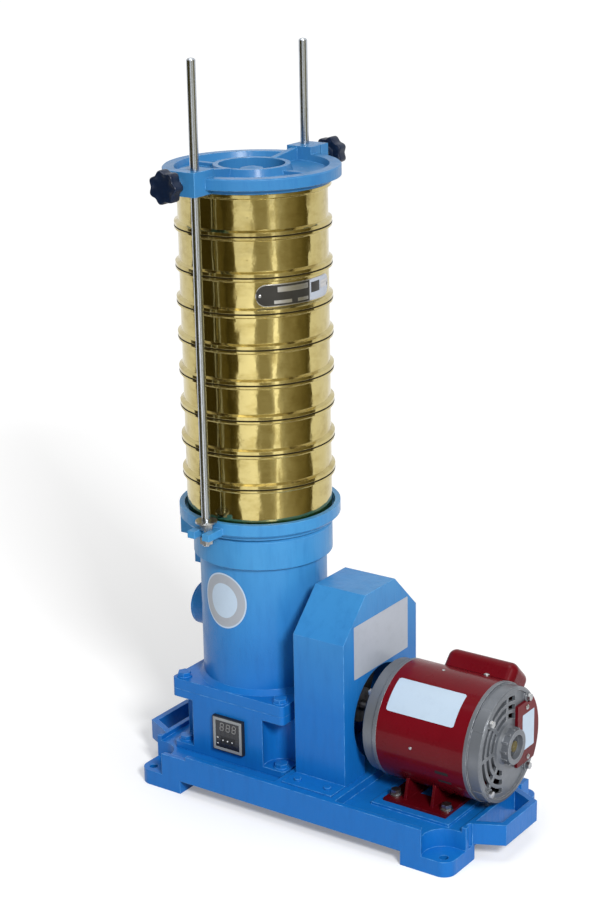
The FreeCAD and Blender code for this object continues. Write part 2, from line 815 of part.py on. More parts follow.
def drive_belt():
    """The vee belt: its trapezium swept round the two pulleys on their tangents."""
    large = value("driven_pulley_radius-belt_sink")
    small = value("motor_pulley_radius-belt_sink")
    depth = value("belt_depth")
    x = value("pulley_x")
    top = value("drive_height")
    bottom = value("motor_axis_height")
    lean = math.asin((large - small) / (top - bottom))

    def loop(inset):
        """A closed face between the pulleys' tangents, inset from the belt's back."""
        big = large - inset
        little = small - inset
        across = math.cos(lean)
        up = math.sin(lean)
        big_right = FreeCAD.Vector(0, big * across, top - big * up)
        big_left = FreeCAD.Vector(0, -big * across, top - big * up)
        small_right = FreeCAD.Vector(0, little * across, bottom - little * up)
        small_left = FreeCAD.Vector(0, -little * across, bottom - little * up)
        crown = FreeCAD.Vector(0, 0, top + big)
        sole = FreeCAD.Vector(0, 0, bottom - little)
        edges = [Part.Arc(big_left, crown, big_right).toShape(),
                 Part.LineSegment(big_right, small_right).toShape(),
                 Part.Arc(small_right, sole, small_left).toShape(),
                 Part.LineSegment(small_left, big_left).toShape()]
        return Part.Wire(edges)

    half_top = value("belt_top_width") / 2
    half_bottom = value("groove_bottom_width") / 2 - value("seat_gap") * 1.5
    wires = []
    for inset, offset in ((0, -half_top), (0, half_top), (depth, half_bottom), (depth, -half_bottom)):
        wire = loop(inset)
        wire.translate(FreeCAD.Vector(x + offset, 0, 0))
        wires.append(wire)
    outside = Part.makeLoft([wires[0], wires[1]], False, True)
    flank = Part.makeLoft([wires[1], wires[2]], False, True)
    inside = Part.makeLoft([wires[2], wires[3]], False, True)
    other_flank = Part.makeLoft([wires[3], wires[0]], False, True)
    shell = Part.Shell(outside.Faces + flank.Faces + inside.Faces + other_flank.Faces)
    thing = doc.addObject("Part::Feature", "drive_belt")
    thing.Shape = Part.Solid(shell)
    return thing


def eccentric_spindle():
    """The upright spindle: nose for the gear, bearing length and an offset journal on top."""
    length = "(upper_bearing_z+spindle_bearing_width+4-spindle_shoulder)"
    nose = cylinder("spindle_nose", "spindle_nose_radius", "spindle_shoulder-spindle_bottom+1",
                    "spindle_x", "0", "spindle_bottom")
    shank = cylinder("spindle_shank", "spindle_radius", length, "spindle_x", "0", "spindle_shoulder")
    journal_bottom = f"spindle_shoulder+{length}"
    journal = cylinder("spindle_journal", "journal_radius", "journal_length+1",
                       TABLE_X, "0", f"{journal_bottom}-1")
    return fuse("eccentric_spindle", nose, shank, journal)


def counterweight():
    """A half disc clamped to the spindle opposite the journal's throw."""
    disc = cylinder("counterweight_disc", "counterweight_radius", "counterweight_height",
                    "spindle_x", "0", "counterweight_z")
    hub = cylinder("counterweight_hub", "spindle_radius+8", "counterweight_height",
                   "spindle_x", "0", "counterweight_z")
    keep = box("counterweight_half", "counterweight_radius+1", "2*counterweight_radius+2",
               "counterweight_height",
               "spindle_x", "-counterweight_radius-1", "counterweight_z")
    half_disc = common("counterweight_half_disc", disc, keep)
    body = fuse("counterweight_body", half_disc, hub)
    bore = cylinder("counterweight_bore", "spindle_radius+running_gap", "counterweight_height+2",
                    "spindle_x", "0", "counterweight_z-1")
    return cut("counterweight", body, bore)


# Belt guard

def guard_section(inset, bottom):
    """The guard's front view: upright sides with sloping shoulders, inset by the sheet."""
    half = f"(guard_width/2-{inset})"
    half_top = f"(guard_top_width/2-{inset}*0.4)"
    shoulder = f"(rim_height+guard_shoulder-{inset}*0.4)"
    top = f"(rim_height+guard_height-{inset})"
    return [(f"-{half}", bottom), (half, bottom), (half, shoulder), (half_top, top),
            (f"-{half_top}", top), (f"-{half}", shoulder)]


def belt_guard():
    """Folded sheet over both pulleys, with a slot from below for the shaft and for the motor's end."""
    outer = padded("guard_outer", "YZ_Plane", guard_section("0", "rim_height"), "guard_depth", x="guard_x")
    inner = padded("guard_inner", "YZ_Plane", guard_section("guard_sheet", "rim_height-5"),
                   "guard_depth-2*guard_sheet", x="guard_x+guard_sheet")
    motor_hole = cylinder("guard_motor_hole", "guard_motor_opening", "4*guard_sheet",
                          "guard_x+guard_depth-2*guard_sheet", "0", "motor_axis_height", ALONG_X)
    motor_slot = box("guard_motor_slot", "4*guard_sheet", "2*guard_motor_slot", "motor_axis_height",
                     "guard_x+guard_depth-2*guard_sheet", "-guard_motor_slot", "0")
    shaft_hole = cylinder("guard_shaft_hole", "guard_shaft_opening", "4*guard_sheet",
                          "guard_x-2*guard_sheet", "0", "drive_height", ALONG_X)
    shaft_slot = box("guard_shaft_slot", "4*guard_sheet", "2*guard_shaft_opening", "drive_height",
                     "guard_x-2*guard_sheet", "-guard_shaft_opening", "0")
    shell = cut("guard_shell", outer, inner, motor_hole, motor_slot, shaft_hole, shaft_slot)
    flanges = [shell]
    for name, side in (("front", -1), ("back", 1)):
        flanges.append(block(f"guard_{name}_flange", "guard_depth", "guard_flange+guard_sheet",
                             "guard_flange_sheet", GUARD_MIDDLE,
                             f"{side}*(guard_width/2+(guard_flange-guard_sheet)/2)", "rim_height"))
    return fuse("belt_guard", *flanges)


def guard_screws():
    screws = []
    for side in (-1, 1):
        for number, x in enumerate(("guard_x+guard_depth*0.2", "guard_x+guard_depth*0.8"), start=1):
            name = f"guard_screw_{'front' if side < 0 else 'back'}_{number}"
            screws.append(cylinder(name, "guard_screw_radius", "guard_screw_height", x,
                                   f"{side}*(guard_width/2+guard_flange*0.55)",
                                   "rim_height+guard_flange_sheet"))
    return group("guard_screws", *screws)


# Motor

def motor_shell():
    profile = [("motor_radius-motor_shell_wall", "0"), ("motor_radius", "0"),
               ("motor_radius", "motor_shell_length"),
               ("motor_radius-motor_shell_wall", "motor_shell_length")]
    return revolved("motor_shell", profile, "motor_x", "0", "motor_axis_height", ALONG_X)


def bell_profile():
    """An end bell open to the motor: a stepped rim, a recessed face and a deep bearing hub."""
    inner = "(motor_radius-bell_step-bell_wall)"
    face = "(bell_length-bell_face_recess)"
    hub_end = "(bell_length+bell_hub_reach)"
    seat = "(motor_bearing_radius+running_gap)"
    return [
        (inner, "0"),
        ("motor_radius", "0"),
        ("motor_radius", "bell_rim"),
        ("motor_radius-bell_step", "bell_rim"),
        ("motor_radius-bell_step", "bell_length-1.5"),
        ("motor_radius-bell_step-1.5", "bell_length"),
        (inner, "bell_length"),
        (f"{inner}-1", face),
        ("bell_hub_radius+bell_hub_root", face),
        ("bell_hub_radius", "bell_length+1"),
        ("bell_hub_radius", hub_end),
        ("bell_cap_radius", hub_end),
        ("bell_cap_radius", f"{hub_end}-bell_cap_depth"),
        (seat, f"{hub_end}-bell_cap_depth"),
        (seat, f"{face}-bell_wall"),
        (inner, f"{face}-bell_wall"),
    ]


def end_bell(name, x, side):
    """A turned bell with a pad on its face for each through bolt, and flutes along its hub."""
    turn = ALONG_X if side > 0 else AGAINST_X
    pieces = [revolved(f"{name}_turned", bell_profile(), x, "0", "motor_axis_height", turn)]
    pad_height = "(bell_face_recess+bell_wall)"
    for number, (y, z) in enumerate(through_bolt_places(), start=1):
        pieces.append(cylinder(f"{name}_bolt_pad_{number}", "bolt_pad_radius", pad_height,
                               f"{x}+{side}*(bell_length-{pad_height})", y, f"motor_axis_height+{z}", turn))
    flutes = int(value("bell_flutes"))
    for number in range(flutes):
        pieces.append(box_round_motor(f"{name}_flute_{number + 1}", "bell_flute_length", "bell_flute_width",
                                      "bell_flute_root+bell_flute_rise",
                                      f"{x}+{side}*(bell_length+1+bell_flute_length/2)",
                                      "bell_hub_radius-bell_flute_root", 360 * number / flutes))
    return cut(name, fuse(f"{name}_casting", *pieces), *through_bolt_holes(name))


def box_round_motor(name, length, width, height, middle_x, radius, angle):
    """A box standing out from the motor's axis at a radius, turned about the axis by an angle in degrees."""
    thing = doc.addObject("Part::Box", name)
    for prop, formula in (("Length", length), ("Width", width), ("Height", height)):
        thing.setExpression(prop, bound(formula))
    turn = FreeCAD.Rotation(FreeCAD.Vector(1, 0, 0), angle)
    corner = FreeCAD.Vector(-value(length) / 2, -value(width) / 2, value(radius))
    middle = FreeCAD.Vector(value(middle_x), 0, value("motor_axis_height"))
    thing.Placement = FreeCAD.Placement(middle + turn.multVec(corner), turn)
    return thing


def bell_vents(name, x):
    """Rings of arc-shaped slots through the outer bell's face, parted by spokes."""
    depth = "(3*bell_wall)"
    start = f"{x}+bell_length-bell_face_recess-2*bell_wall"
    rings = []
    for number in range(int(value("vent_rings"))):
        inner_radius = f"(vent_inner_radius+{number}*vent_ring_pitch)"
        outer = cylinder(f"{name}_outer_{number + 1}", f"{inner_radius}+vent_slot", depth, start, "0",
                         "motor_axis_height", ALONG_X)
        inner = cylinder(f"{name}_inner_{number + 1}", inner_radius, depth, start, "0",
                         "motor_axis_height", ALONG_X)
        rings.append(cut(f"{name}_ring_{number + 1}", outer, inner))
    solid_parts = []
    for number in range(4):
        solid_parts.append(box_round_motor(f"{name}_spoke_{number + 1}", depth, "vent_rib", "2*motor_radius",
                                           f"{start}+{depth}/2", "-motor_radius", 45 * number))
    solid_parts.append(box(f"{name}_closed_side", depth, "motor_radius", "2*motor_radius", start,
                           "terminal_cover_y", "motor_axis_height-motor_radius"))
    solid_parts.append(box(f"{name}_closed_foot", depth, "motor_radius+bell_closed_y",
                           "motor_radius-bell_closed_drop", start, "-bell_closed_y",
                           "motor_axis_height-motor_radius"))
    return cut(name, fuse(f"{name}_rings", *rings), *solid_parts)


def through_bolt_places():
    """The four long bolts' places round the motor axis, as offsets along Y and Z."""
    places = []
    for angle in (45, 135, 225, 315):
        turn = math.radians(angle)
        places.append((f"through_bolt_circle*{math.cos(turn):.6f}",
                       f"through_bolt_circle*{math.sin(turn):.6f}"))
    return places


INNER_BELL_END = "(motor_x-bell_length)"
OUTER_BELL_END = f"({MOTOR_FAR_END}+bell_length)"


def through_bolt_holes(name):
    """Tools for the four long bolts, right through the motor."""
    holes = []
    for number, (y, z) in enumerate(through_bolt_places(), start=1):
        holes.append(cylinder(f"{name}_bolt_hole_{number}", "through_bolt_radius+running_gap",
                              f"{OUTER_BELL_END}-{INNER_BELL_END}+20", f"{INNER_BELL_END}-10", y,
                              f"motor_axis_height+{z}", ALONG_X))
    return holes


def motor_through_bolts():
    """Four long bolts that hold the bells on the shell: a head outside, a nut inside the guard's opening."""
    bolts = []
    tail = "(through_bolt_nut_height+through_bolt_tip)"
    for number, (y, z) in enumerate(through_bolt_places(), start=1):
        height = f"motor_axis_height+{z}"
        rod = cylinder(f"through_bolt_{number}_rod", "through_bolt_radius",
                       f"{OUTER_BELL_END}-{INNER_BELL_END}+{tail}+1", f"{INNER_BELL_END}-{tail}", y, height,
                       ALONG_X)
        head = hexagon(f"through_bolt_{number}_head", "through_bolt_head", "through_bolt_head_height",
                       OUTER_BELL_END, y, height, ALONG_X)
        nut = hexagon(f"through_bolt_{number}_nut", "through_bolt_head", "through_bolt_nut_height",
                      f"{INNER_BELL_END}-through_bolt_nut_height", y, height, ALONG_X)
        bolts.append(fuse(f"through_bolt_{number}", rod, head, nut))
    return group("motor_through_bolts", *bolts)


def motor_stator():
    profile = [("stator_inner_radius", "0"), ("motor_radius-motor_shell_wall-seat_gap", "0"),
               ("motor_radius-motor_shell_wall-seat_gap", "core_length"),
               ("stator_inner_radius", "core_length")]
    core = revolved("stator_core", profile, f"{MOTOR_MIDDLE}-core_length/2", "0", "motor_axis_height",
                    ALONG_X)
    return cut("motor_stator", core, *through_bolt_holes("stator"))


def motor_rotor():
    profile = [("motor_shaft_radius+running_gap", "0"), ("stator_inner_radius-rotor_gap", "0"),
               ("stator_inner_radius-rotor_gap", "core_length"),
               ("motor_shaft_radius+running_gap", "core_length")]
    return revolved("motor_rotor", profile, f"{MOTOR_MIDDLE}-core_length/2", "0", "motor_axis_height",
                    ALONG_X)


def motor_shaft():
    start = "(pulley_x-pulley_width/2-2)"
    end = f"({OUTER_BELL_END}+bell_hub_reach-bell_cap_depth/2)"
    return cylinder("motor_shaft", "motor_shaft_radius", f"{end}-{start}", start, "0", "motor_axis_height",
                    ALONG_X)


def motor_bearings():
    profile = [("motor_shaft_radius+running_gap", "0"), ("motor_bearing_radius", "0"),
               ("motor_bearing_radius", "motor_bearing_width"),
               ("motor_shaft_radius+running_gap", "motor_bearing_width")]
    back = "(bell_length+bell_hub_reach-bell_cap_depth-motor_bearing_width)"
    far = revolved("outer_motor_bearing", profile, f"{MOTOR_FAR_END}+{back}", "0", "motor_axis_height",
                   ALONG_X)
    near = revolved("inner_motor_bearing", profile, f"motor_x-{back}", "0", "motor_axis_height", AGAINST_X)
    return group("motor_bearings", far, near)


def motor_foot():
    """The pressed cradle: a plate with a window under the shell and two gussets up each side."""
    plate = block("foot_plate", "motor_foot_length", "motor_foot_width", "motor_foot_thickness",
                  FOOT_MIDDLE, "0", MOTOR_FOOT_SEAT)
    pieces = [plate]
    for end in (-1, 1):
        gusset_x = f"{FOOT_MIDDLE}+{end}*(motor_foot_length/2-28)-cradle_thickness/2"
        points = [("-motor_foot_width/2+10", "0"), ("motor_foot_width/2-10", "0"),
                  ("motor_foot_width/2-22", "44"), ("-motor_foot_width/2+22", "44")]
        pieces.append(padded(f"gusset_{'near' if end < 0 else 'far'}", "YZ_Plane", points, "cradle_thickness",
                             x=gusset_x, z=f"{MOTOR_FOOT_SEAT}+motor_foot_thickness-0.5"))
    body = fuse("foot_body", *pieces)
    shell_room = cylinder("foot_shell_room", "motor_radius+seat_gap", "motor_foot_length+20",
                          f"{FOOT_MIDDLE}-motor_foot_length/2-10", "0", "motor_axis_height", ALONG_X)
    tools = [shell_room, block("foot_window", "motor_foot_length-2*25-2*cradle_thickness-8",
                               "motor_foot_window", "3*motor_foot_thickness", FOOT_MIDDLE, "0",
                               f"{MOTOR_FOOT_SEAT}-motor_foot_thickness")]
    for number, (side_x, side_y) in enumerate(CORNERS, start=1):
        tools.append(cylinder(f"foot_bolt_hole_{number}", "motor_bolt_radius+running_gap",
                              "3*motor_foot_thickness", f"{FOOT_MIDDLE}+{side_x}*motor_bolt_pitch_long/2",
                              f"{side_y}*motor_bolt_pitch_wide/2", f"{MOTOR_FOOT_SEAT}-motor_foot_thickness"))
    return cut("motor_foot", body, *tools)


def motor_bolts():
    pieces = []
    seat = f"({MOTOR_FOOT_SEAT}+motor_foot_thickness)"
    for number, (side_x, side_y) in enumerate(CORNERS, start=1):
        x = f"{FOOT_MIDDLE}+{side_x}*motor_bolt_pitch_long/2"
        y = f"{side_y}*motor_bolt_pitch_wide/2"
        washer = cylinder(f"motor_washer_{number}_disc", "motor_washer_radius", "motor_washer_height",
                          x, y, seat)
        head = hexagon(f"motor_bolt_{number}_head", "motor_bolt_head", "motor_bolt_head_height", x, y,
                       f"{seat}+motor_washer_height")
        shank = cylinder(f"motor_bolt_{number}_shank", "motor_bolt_radius",
                         "motor_foot_thickness+motor_washer_height+0.5", x, y, MOTOR_FOOT_SEAT)
        pieces.append(fuse(f"motor_bolt_{number}", washer, head, shank))
    return group("motor_bolts", *pieces)


def capacitor_cover():
    """A drawn cover leaning back at 45 degrees on the shell, open to it, over the capacitor."""
    start = value("motor_radius") - value("cover_corner") / 2
    reach = value("capacitor_reach")
    width = value("capacitor_width")
    length = value("capacitor_length")
    sheet_thickness = value("cover_sheet")

    def drawn_box(inset):
        """A box on the shell with its outer edges rounded, inset by the sheet."""
        top = reach - inset
        box_shape = Part.makeBox(length - 2 * inset, width - 2 * inset, top - start,
                                 FreeCAD.Vector(inset - length / 2, inset - width / 2, start))
        soft = [edge for edge in box_shape.Edges
                if edge.BoundBox.ZMin > top - 1 or edge.BoundBox.ZLength > 1]
        return box_shape.makeFillet(value("cover_corner") - inset, soft)

    shell = Part.makeCylinder(value("motor_radius+seat_gap"), 2 * length, FreeCAD.Vector(-length, 0, 0),
                              FreeCAD.Vector(1, 0, 0))
    thing = doc.addObject("Part::Feature", "capacitor_cover")
    thing.Shape = drawn_box(0).cut(drawn_box(sheet_thickness)).cut(shell)
    return place(thing, f"{MOTOR_MIDDLE}+cover_shift", "0", "motor_axis_height", ((1, 0, 0), -45))


def capacitor():
    lean = math.radians(45)
    length = "(capacitor_length-2*cover_corner)"
    out = "(motor_radius+seat_gap+capacitor_radius)"
    return cylinder("capacitor", "capacitor_radius", length, f"{MOTOR_MIDDLE}+cover_shift-{length}/2",
                    f"{out}*{math.sin(lean):.6f}", f"motor_axis_height+{out}*{math.cos(lean):.6f}", ALONG_X)


def terminal_cover():
    """The pressed cover over the wiring, in the outer bell's face behind the hub."""
    face_depth = "(bell_face_recess+terminal_cover_sheet)"
    height = "(terminal_cover_top+terminal_cover_bottom)"
    lip = cylinder("terminal_lip", "motor_radius-bell_step-0.5", "terminal_cover_sheet", OUTER_BELL_END,
                   "0", "motor_axis_height", ALONG_X)
    plug = cylinder("terminal_plug", "motor_radius-bell_step-bell_wall-1-seat_gap", face_depth,
                    f"{OUTER_BELL_END}-bell_face_recess", "0", "motor_axis_height", ALONG_X)
    keep = box("terminal_keep", f"{face_depth}+2", "motor_radius", height,
               f"{OUTER_BELL_END}-bell_face_recess-1",
               "terminal_cover_y", "motor_axis_height-terminal_cover_bottom")
    cover = common("terminal_body", fuse("terminal_disc", lip, plug), keep)
    rooms = [cylinder("terminal_hub_room", "bell_hub_radius+bell_hub_root+seat_gap", f"{face_depth}+2",
                      f"{OUTER_BELL_END}-bell_face_recess-1", "0", "motor_axis_height", ALONG_X)]
    for number, (y, z) in enumerate(through_bolt_places(), start=1):
        rooms.append(cylinder(f"terminal_bolt_room_{number}", "bolt_pad_radius+seat_gap", f"{face_depth}+2",
                              f"{OUTER_BELL_END}-bell_face_recess-1", y, f"motor_axis_height+{z}", ALONG_X))
    return cut("terminal_cover", cover, *rooms)


# Sieve table and rods

def sieve_table():
    hub_bottom = "-table_hub_length"
    seat = "(-table_hub_length+3+table_bearing_width)"
    profile = [
        ("table_bearing_radius+running_gap", hub_bottom),
        ("table_hub_radius", hub_bottom),
        ("table_hub_radius", "0"),
        ("table_skirt_radius-table_skirt_width", "0"),
        ("table_skirt_radius-table_skirt_width", "-table_skirt_drop"),
        ("table_skirt_radius", "-table_skirt_drop"),
        ("table_skirt_radius", "0"),
        ("table_radius-3", "0"),
        ("table_radius", "3"),
        ("table_radius", "table_rim_height"),
        ("table_rim_inner", "table_rim_height"),
        ("table_rim_inner", "table_floor"),
        ("0", "table_floor"),
        ("0", f"{seat}+1"),
        ("table_bearing_radius-4", f"{seat}+1"),
        ("table_bearing_radius-4", seat),
        ("table_bearing_radius+running_gap", seat),
    ]
    plate = revolved("table_plate", profile, TABLE_X, "0", TABLE_BOTTOM)
    pieces = [plate]
    slots = []
    for name, side in (("front", -1), ("back", 1)):
        pieces.append(block(f"{name}_lug", "lug_width", "lug_reach-table_rim_inner-2", "lug_thickness",
                            TABLE_X, f"{side}*(lug_reach+table_rim_inner+2)/2",
                            f"{TABLE_SEAT}+3-lug_thickness"))
        slots.append(cylinder(f"{name}_slot_end", "rod_radius+lug_slot_gap", "4*lug_thickness",
                              TABLE_X, f"{side}*rod_circle_radius", f"{TABLE_SEAT}-2*lug_thickness"))
        slots.append(block(f"{name}_slot", "2*(rod_radius+lug_slot_gap)", "lug_reach-rod_circle_radius+2",
                           "4*lug_thickness", TABLE_X,
                           f"{side}*(lug_reach+rod_circle_radius+2)/2", f"{TABLE_SEAT}-2*lug_thickness"))
    arm_bottom = "(arm_top-arm_height)"
    pieces.append(box("arm_block", "arm_outer-arm_inner", "arm_width", "arm_height",
                      f"{TABLE_X}-arm_outer", "-arm_width/2", arm_bottom))
    pieces.append(box("arm_neck", "table_radius-arm_inner", "arm_width", f"{TABLE_BOTTOM}+6-arm_top+1",
                      f"{TABLE_X}-table_radius", "-arm_width/2", "arm_top-1"))
    slot_half = "(tongue_width/2+throw+arm_slot_gap)"
    slots.append(box("arm_slot", "tongue_outer+throw+arm_slot_gap-arm_inner+2", f"2*{slot_half}",
                     f"tongue_top-{arm_bottom}+6",
                     f"{TABLE_X}-tongue_outer-throw-arm_slot_gap", f"-{slot_half}", f"{arm_bottom}-2"))
    return cut("sieve_table", fuse("table_casting", *pieces), *slots)


def table_bearing():
    profile = [("journal_radius+running_gap", "0"), ("table_bearing_radius", "0"),
               ("table_bearing_radius", "table_bearing_width"),
               ("journal_radius+running_gap", "table_bearing_width")]
    return revolved("table_bearing", profile, TABLE_X, "0",
                    f"{TABLE_BOTTOM}-table_hub_length+3")


def clamp_rod(name, side):
    profile = [("0", "0"), ("rod_radius-1", "0"), ("rod_radius", "1"),
               ("rod_radius", "rod_top-rod_bottom-rod_dome"),
               ("rod_radius*0.7", "rod_top-rod_bottom-rod_dome*0.3"), ("0", "rod_top-rod_bottom")]
    return revolved(name, profile, TABLE_X, f"{side}*rod_circle_radius", "rod_bottom")


LUG_TOP = f"({TABLE_SEAT}+3)"


def rod_nuts():
    """A nut above and a nut below the lug on each rod."""
    nuts = []
    for name, side in (("front", -1), ("back", 1)):
        for level, z in (("upper", LUG_TOP), ("lower", f"{LUG_TOP}-lug_thickness-nut_height")):
            body = hexagon(f"{name}_{level}_nut_body", "nut_width", "nut_height", TABLE_X,
                           f"{side}*rod_circle_radius", z)
            bore = cylinder(f"{name}_{level}_nut_bore", "rod_radius+running_gap", "nut_height+2",
                            TABLE_X, f"{side}*rod_circle_radius", f"{z}-1")
            nuts.append(cut(f"{name}_{level}_nut", body, bore))
    return group("rod_nuts", *nuts)


def rod_washers():
    washers = []
    for name, side in (("front", -1), ("back", 1)):
        z = f"{LUG_TOP}+nut_height"
        disc = cylinder(f"{name}_washer_disc", "rod_washer_radius", "rod_washer_height", TABLE_X,
                        f"{side}*rod_circle_radius", z)
        bore = cylinder(f"{name}_washer_bore", "rod_radius+running_gap", "rod_washer_height+2",
                        TABLE_X, f"{side}*rod_circle_radius", f"{z}-1")
        washers.append(cut(f"{name}_washer", disc, bore))
    return group("rod_washers", *washers)


# Sieve stack

def sieve(name, pitch, z):
    """A round frame with its wire cloth: skirt that nests, seat bead, wall and rolled rim."""
    inner = "(sieve_radius-sieve_wall)"
    top = f"({pitch}-seat_gap)"
    skirt_outer = f"({inner}-nest_gap)"
    skirt_inner = f"({skirt_outer}-sieve_wall)"
    profile = [
        ("0", "cloth_height"),
        (skirt_inner, "cloth_height"),
        (skirt_inner, "-nest_depth"),
        (skirt_outer, "-nest_depth"),
        (skirt_outer, "0"),
        ("bead_radius", "0"),
        ("bead_radius", "bead_height"),
        ("sieve_radius", "bead_height+bead_slope"),
        ("sieve_radius", f"{top}-bead_height-bead_slope"),
        ("bead_radius", f"{top}-bead_height"),
        ("bead_radius", top),
        (inner, top),
        (inner, "cloth_height+cloth_thickness"),
        ("0", "cloth_height+cloth_thickness"),
    ]
    return revolved(name, profile, TABLE_X, "0", z)


def receiver_pan():
    """The closed pan below the sieves, with a sloping edge round its floor."""
    inner = "(sieve_radius-sieve_wall)"
    top = "(receiver_height-seat_gap)"
    profile = [
        ("0", "0"),
        ("sieve_radius-receiver_foot", "0"),
        ("sieve_radius", "receiver_foot"),
        ("sieve_radius", f"{top}-bead_height-bead_slope"),
        ("bead_radius", f"{top}-bead_height"),
        ("bead_radius", top),
        (inner, top),
        (inner, "receiver_foot+sieve_wall/2"),
        (f"{inner}-receiver_foot+sieve_wall/2", "sieve_wall"),
        ("0", "sieve_wall"),
    ]
    return revolved("receiver_pan", profile, TABLE_X, "0", STACK_BOTTOM)


def stack_heights():
    """The seat of each sieve above the receiver, from the bottom up, and of the lid."""
    heights = [f"({STACK_BOTTOM}+receiver_height)"]
    pitches = ["short_sieve_pitch"] * int(value("short_sieves"))
    pitches += ["tall_sieve_pitch"] * int(value("tall_sieves"))
    for pitch in pitches:
        heights.append(f"({heights[-1]}+{pitch})")
    return heights, pitches


def lid(z):
    """The lid: a nesting skirt, a rolled edge, a dished plate and a domed knob."""
    skirt_outer = "(sieve_radius-sieve_wall-nest_gap)"
    skirt_inner = f"({skirt_outer}-lid_sheet)"
    plate_top = "(2*lid_sheet)"
    profile = [
        ("0", "lid_sheet"),
        (skirt_inner, "lid_sheet"),
        (skirt_inner, "-nest_depth"),
        (skirt_outer, "-nest_depth"),
        (skirt_outer, "0"),
        ("bead_radius", "0"),
        ("bead_radius", "lid_height-seat_gap"),
        (skirt_inner, "lid_height-seat_gap"),
        (f"{skirt_inner}-lid_dish", plate_top),
        ("lid_knob_radius*0.55", plate_top),
        ("lid_knob_radius", "lid_knob_height*0.5"),
        ("lid_knob_radius*0.8", "lid_knob_height*0.85"),
        ("0", "lid_knob_height"),
    ]
    return revolved("lid", profile, TABLE_X, "0", z)


# Clamp ring

def clamp_ring(z):
    top = "ring_height"
    rim_inner = "(ring_radius-ring_rim_width)"
    profile = [
        ("ring_bore_radius", "2"),
        ("ring_radius-6", "0"),
        ("ring_radius", "2"),
        ("ring_radius", f"{top}-1.5"),
        ("ring_radius-1.5", top),
        (rim_inner, top),
        (f"{rim_inner}-3", "2+ring_web"),
        ("ring_hub_radius+3", "2+ring_web"),
        ("ring_hub_radius", "ring_hub_height"),
        ("ring_bore_radius", "ring_hub_height"),
    ]
    disc = revolved("ring_disc", profile, TABLE_X, "0", z)
    ribs = []
    for number, angle in enumerate((0, 90, 180, 270), start=1):
        height = "ring_rib_height" if angle in (0, 180) else "ring_height+block_rise-2"
        half = value("ring_rib/2")
        rib = doc.addObject("Part::Box", f"ring_rib_{number}")
        rib.setExpression("Length", bound(f"{rim_inner}-ring_bore_radius-2"))
        rib.setExpression("Width", bound("ring_rib"))
        rib.setExpression("Height", bound(f"{height}-3"))
        turn = math.radians(angle)
        start = value("ring_bore_radius+2")
        rib.Placement = FreeCAD.Placement(
            FreeCAD.Vector(value(TABLE_X) + start * math.cos(turn) + half * math.sin(turn),
                           start * math.sin(turn) - half * math.cos(turn), value(f"{z}+3")),
            FreeCAD.Rotation(FreeCAD.Vector(0, 0, 1), angle))
        if angle in (90, 270):
            side = 1 if angle == 90 else -1
            rib = cut(f"ring_gusset_{number}", rib, gusset_slope(number, side, z))
        ribs.append(rib)
    blocks = []
    tools = []
    for name, side in (("front", -1), ("back", 1)):
        blocks.append(box(f"{name}_block", "block_long_side+block_short_side", "block_outer-block_inner",
                          "ring_height+block_rise+block_drop",
                          f"{TABLE_X}-{'block_long_side' if side < 0 else 'block_short_side'}",
                          f"{'-block_outer' if side < 0 else 'block_inner'}", f"{z}-block_drop"))
        tools.append(cylinder(f"{name}_rod_bore", "rod_radius+running_gap", "3*ring_height", TABLE_X,
                              f"{side}*rod_circle_radius", f"{z}-ring_height"))
        tools.append(block(f"{name}_slit", "block_long_side+1", "block_slit", "3*ring_height",
                           f"{TABLE_X}+{side}*(block_long_side+1)/2", f"{side}*rod_circle_radius",
                           f"{z}-ring_height"))
        tools.append(cylinder(f"{name}_screw_bore", "clamp_screw_radius+running_gap",
                              "block_outer-clamp_screw_end+2",
                              f"{TABLE_X}+{side}*clamp_screw_offset",
                              f"{side}*(clamp_screw_end-1)", clamp_height(z), outward(side)))
    below = cylinder("stack_room", "bead_radius+2", "block_drop+1", TABLE_X, "0", f"{z}-block_drop-1")
    return cut("clamp_ring", fuse("ring_casting", disc, *ribs, *blocks), below, *tools)


def gusset_slope(number, side, z):
    """A wedge that slopes the tall rib down from the block to the hub."""
    low = f"({z}+ring_hub_height)"
    high = f"({z}+ring_height+block_rise-2)"
    points = [(f"{side}*(ring_bore_radius)", low), (f"{side}*block_inner", high),
              (f"{side}*block_inner", f"{high}+20"), (f"{side}*(ring_bore_radius)", f"{high}+20")]
    return padded(f"gusset_slope_{number}", "YZ_Plane", points, "3*ring_rib", x=f"{TABLE_X}-1.5*ring_rib")


def clamp_height(z):
    """The pinch screws' height, at the middle of the clamp blocks."""
    return f"({z}+(ring_height+block_rise-block_drop)/2)"


def outward(side):
    """The turn that points a piece's own Z axis along Y, away from the stack."""
    return ((1, 0, 0), -90 * side)


def clamp_nuts(z):
    """A lock nut on each pinch screw, against the block's outer face."""
    nuts = []
    for name, side in (("front", -1), ("back", 1)):
        x = f"{TABLE_X}+{side}*clamp_screw_offset"
        body = hexagon(f"{name}_clamp_nut_body", "clamp_nut_width", "clamp_nut_height", x,
                       f"{side}*block_outer", clamp_height(z), outward(side))
        bore = cylinder(f"{name}_clamp_nut_bore", "clamp_screw_radius+running_gap", "clamp_nut_height+2", x,
                        f"{side}*(block_outer-1)", clamp_height(z), outward(side))
        nuts.append(cut(f"{name}_clamp_nut", body, bore))
    return group("clamp_nuts", *nuts)


